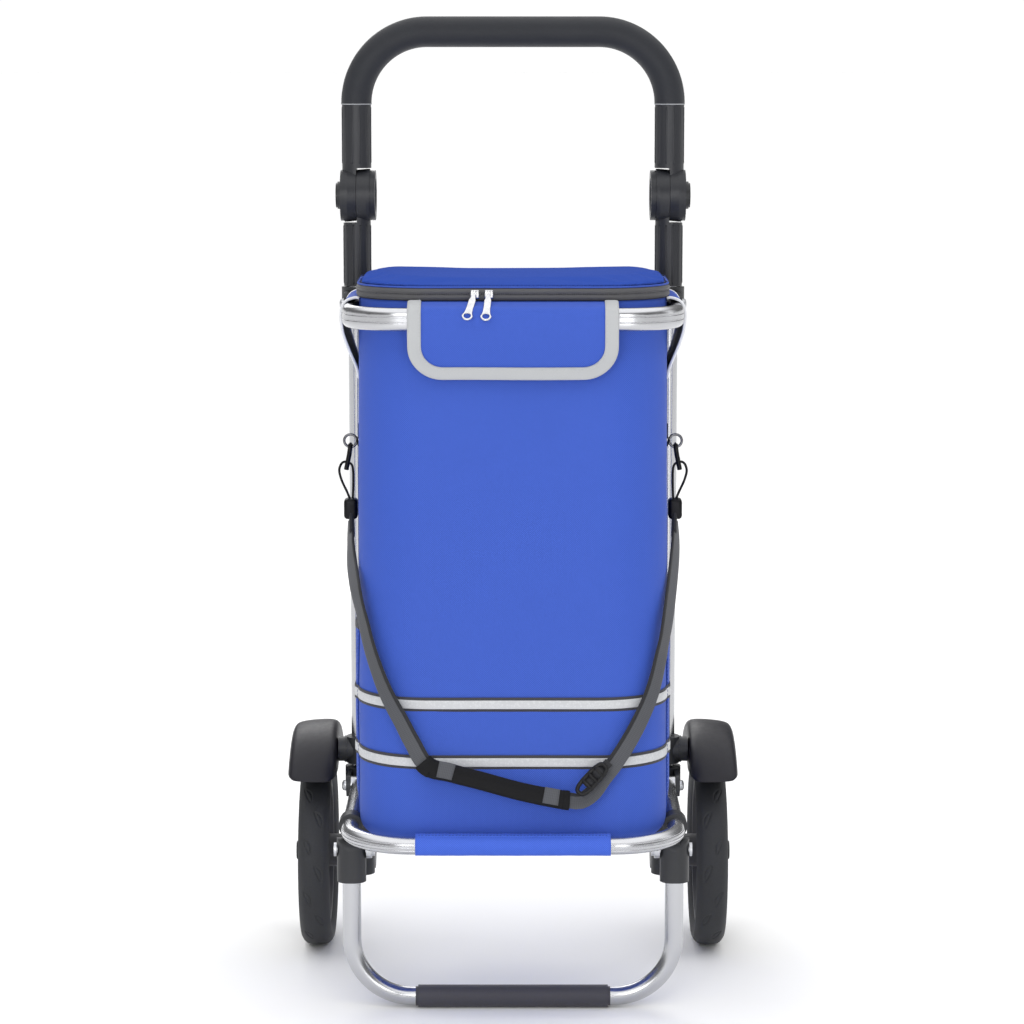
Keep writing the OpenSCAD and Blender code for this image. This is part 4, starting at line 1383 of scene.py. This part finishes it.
def make_hooks():
    """Snap hooks, wire loops and keepers that join the strap to the bag's rings."""
    made = []
    ring_d, ring_z, ring_r, ring_x = -150, 583, 6.5, 167
    for name, side in SIDES:
        x = side * ring_x
        tab = [P(side * (BAG_HALF + out), ring_d, z) for out, z in
               ((1.0, 601), (1.0, 594), (1.0, 588), (3.4, 584), (1.2, 578))]
        loop = sweep(f"ring_tab_{name}", smooth_path(tab, 2.0), flat_profile(15, 1.6), "strap_dark",
                     hint=(side, 0, 0))
        on_frame(loop, "strap_webbing")
        bar_top, bar_low = ring_z - ring_r + 3.0, 553.0
        bar = [P(x + side * out, ring_d, z) for out, z in
               ((0, bar_top), (1.2, 570), (2.8, 562), (4.6, bar_low))]
        round_path = [P(x + ring_r * math.cos(a), ring_d, ring_z + ring_r * math.sin(a)) for a in turn(32)]
        d_ring = sweep(f"d_ring_{name}", round_path, round_profile(1.4, 10), "ring", hint=(0, 1, 0),
                       closed=True)
        if name == "left":
            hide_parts("d_rings")
        on_frame(d_ring, "ring_steel")
        oval = [(a * 1.35, b) for a, b in round_profile(2.5, 12)]
        body = sweep(f"snap_hook_{name}", smooth_path(bar, 2.0), oval, "hook", hint=(0, 1, 0))
        made.append(body)
        if name == "left":
            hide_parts("snap_hooks")
        eye = [P(x, ring_d + 4.4 * math.sin(a), ring_z - ring_r + 4.4 * math.cos(a) - 1.0) for a in turn(20)]
        made.append(sweep(f"hook_eye_{name}", eye, round_profile(1.5, 8), "hook", hint=(side, 0, 0),
                          closed=True))
        wire = [(-2.6, 549), (-1.4, 557.5), (3.5, 561), (8.8, 560), (11.8, 552.5), (9.4, 542), (4.0, 530),
                (0.4, 521.5), (-1.6, 521.5), (-2.4, 534), (-2.6, 549)]
        ring = smooth_path([P(side * (ring_x + u), ring_d, z) for u, z in wire], 1.5)
        loop = sweep(f"wire_loop_{name}", ring[:-1], round_profile(1.25, 8), "hook", hint=(0, 1, 0),
                     closed=True)
        made.append(loop)
        if name == "left":
            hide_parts("wire_loops")
        block = rounded_box(f"strap_keeper_{name}", P(side * 167, ring_d, 512.8), (14, 19, 21), 3.6, "hook")
        made.append(block)
        tuck = [P(side * u, ring_d - out, z) for u, out, z in
                ((166.6, 1, 506), (166, 5, 497), (165.6, 11, 488))]
        made.append(sweep(f"strap_tuck_{name}", smooth_path(tuck, 2.0), flat_profile(19, 5), "strap_dark",
                          hint=(side, 0, 0)))
        if name == "left":
            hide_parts("strap_keepers")
    for piece in made:
        on_frame(piece, "hook_black")
    return made


# ---- fenders, tyres and tubes ----


def make_fenders():
    """Moulded mudguards: a flat crown with skirts, swept round the axle down to a level front lip."""
    outside = [(190.2, 112), (190.3, 126), (190.8, 136), (192.6, 141.6), (197, 144.6), (204, 145.2),
               (214, 144.9), (226, 143.8), (235, 142.2), (239.6, 139.8), (242.2, 135), (242.9, 128), (242.9, 118)]
    inside = [(240.3, 118.4), (240.2, 128), (239.4, 133.4), (237.2, 137.2), (233.4, 139.2), (225.6, 140.6),
              (213.8, 141.6), (204, 142.0), (198.4, 141.4), (195.2, 139.2), (193.6, 135), (193.0, 126),
              (192.9, 112.6)]
    first, last, lip_z = 44, 128, 204.6
    for name, side in SIDES:
        rows, uvs = [], []
        for share in np.linspace(0, 1, 64):
            near = min(share, 1 - share) * (last - first)
            tuck = 0.13 * (1 - math.sqrt(1 - (1 - min(1.0, near / 2.6)) ** 2))
            row = []
            for x, r in outside + inside:
                level = math.degrees(math.asin(min(1.0, (lip_z - AXLE_Z) / r)))
                angle = math.radians(level + (last - level) * share)
                d, z = AXLE_D - r * math.cos(angle), AXLE_Z + r * math.sin(angle)
                row.append(P(side * (x + (FENDER_X - x) * tuck), d, z))
            rows.append(row)
            uvs.append([(x * MM, share * 0.21) for x, r in outside + inside])
        fender = grid(f"fender_shell_{name}", rows, "fender", uvs, wrap_columns=True, caps=True)
        modifier(fender, "BEVEL", width=0.0011, segments=3, limit_method="ANGLE",
                 angle_limit=math.radians(55))
        modifier(fender, "SUBSURF", levels=1, render_levels=1)
        settle(fender)
        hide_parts(f"fender_{name}")
        place(fender, "frame", "fender_plastic")


TYRE_SEAT = ((15.6, 93.0), (13.2, 85.0), (10.0, 84.2), (-10.0, 84.2), (-13.2, 85.0), (-15.6, 93.0))


def make_tyres():
    """Tyres with a round-shouldered tread in which curved leaf-shaped cuts lie in two staggered rows."""
    count, across = 520, 44
    half = 17.0
    radius_at = []
    for j in range(across + 1):
        y = -half + 2 * half * j / across
        edge = max(0.0, abs(y) - 9.0)
        radius_at.append((y, TYRE_R - 0.012 * y * y - (edge / 8.0) ** 2.4 * 5.2))
    leaves = []
    number = 22
    for k in range(number):
        row = 1 if k % 2 else -1
        leaves.append((k / number * math.tau, row * 6.0, 0.38))
    for name, side in SIDES:
        rows = []
        for i in range(count):
            a = math.tau * i / count
            row = []
            for y, r in radius_at:
                row.append((side * (WHEEL_X + y), a, r - groove(a, y, leaves)))
            for y, r in TYRE_SEAT:
                row.append((side * (WHEEL_X + y), a, r))
            rows.append([P(x, AXLE_D - r * math.cos(b), AXLE_Z + r * math.sin(b)) for x, b, r in row])
        tyre = grid(f"tyre_tread_{name}", rows, "tyre", wrap_rows=True, wrap_columns=True)
        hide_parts(f"tyre_{name}")
        place(tyre, f"wheel_{name}", "tyre")


def groove(angle, y, leaves):
    """Depth of the tread's cuts at an angle and a distance across: outlines of slanted leaves."""
    depth = 0.0
    for centre, row_y, slant in leaves:
        u = ((angle - centre + math.pi) % math.tau - math.pi) * TYRE_R
        if abs(u) > 20:
            continue
        v = y - row_y
        c, s = math.cos(slant), math.sin(slant)
        along, side = u * c + v * s, -u * s + v * c
        long, wide = 9.5, 2.5
        if abs(along) > long:
            continue
        bow = wide * (1 - (along / long) ** 2)
        centre_line = side - 1.6 * (along / long) ** 2
        near = min(abs(centre_line - bow), abs(centre_line + bow))
        depth = max(depth, 1.2 * max(0.0, 1 - near / 0.95))
    return depth


def make_flutes():
    """Fine ribs along the dark tubes above and below the folds, and the light rings at the grip's ends."""
    for name, side in SIDES:
        for part, body, radius, low, high in (
                ("lower", "frame", 14.65, 734, 797), ("upper", "handle", 15.5, 861, 922)):
            points, faces = [], []
            for k in range(12):
                a = math.tau * (k + 0.5) / 12
                base = len(points)
                for z, grow in ((low, 0.0), (low + 1.5, 1.0), (high - 1.5, 1.0), (high, 0.0)):
                    for m in range(6):
                        b = a + (m - 2.5) / 5 * 0.15
                        h = 0.75 * math.sin(math.pi * m / 5) * grow - 0.15
                        r = radius + h
                        points.append(P(side * RAIL_X + r * math.cos(b), r * math.sin(b), z))
                for i in range(3):
                    for m in range(5):
                        first = base + i * 6 + m
                        faces.append((first, first + 1, first + 7, first + 6))
            ribs = add_mesh(f"tube_ribs_{part}_{name}", points, faces, "socket")
            thicken(ribs, 0.3, offset=-1)
            place(ribs, body, "socket_plastic")
        ring = [P(side * RAIL_X + 15.9 * math.cos(a), 15.9 * math.sin(a), 924.25) for a in turn(48)]
        collar = sweep(f"grip_ring_{name}", ring, round_profile(0.55, 8), "thread_light", hint=(0, 0, 1),
                       closed=True)
        place(collar, "handle", "socket_plastic")


def make_bolt_caps():
    """Domed rivet heads on the pivots and a recessed cap on each fold button."""
    for name, side in SIDES:
        for label, z, x in (("hoop", HOOP_Z, 181.0), ("platform", PLATFORM_Z, 182.5)):
            rings = []
            for radius, out in ((5.6, -0.2), (5.6, 0.5), (4.6, 1.6), (2.6, 2.3), (0.6, 2.5)):
                rings.append([P(side * (x + out), PIVOT_D + radius * math.cos(a), z + radius * math.sin(a))
                              for a in turn(24)])
            head = grid(f"rivet_{label}_{name}", rings, "steel", wrap_columns=True, caps=True)
            place(head, "frame", "steel")
        rings = []
        for radius, out in ((13.4, 187.6), (12.6, 188.3), (11.2, 188.4), (10.6, 187.7), (4.5, 187.5),
                            (3.9, 188.1), (0.8, 188.2)):
            rings.append([P(side * out, radius * math.cos(a), FOLD_Z + radius * math.sin(a))
                          for a in turn(40)])
        cap = grid(f"button_cap_{name}", rings, "plastic", wrap_columns=True, caps=True)
        place(cap, f"button_{name}", "black_plastic")


make_materials()
make_camera()
make_studio()
dress_cad()
make_bag()
make_pockets()
make_bands()
make_lid()
make_lid_hinge()
make_zip()
make_pulls()
make_front_flap()
make_side_flaps()
make_sleeve()
make_strap()
make_fenders()
make_tyres()
make_flutes()
make_bolt_caps()
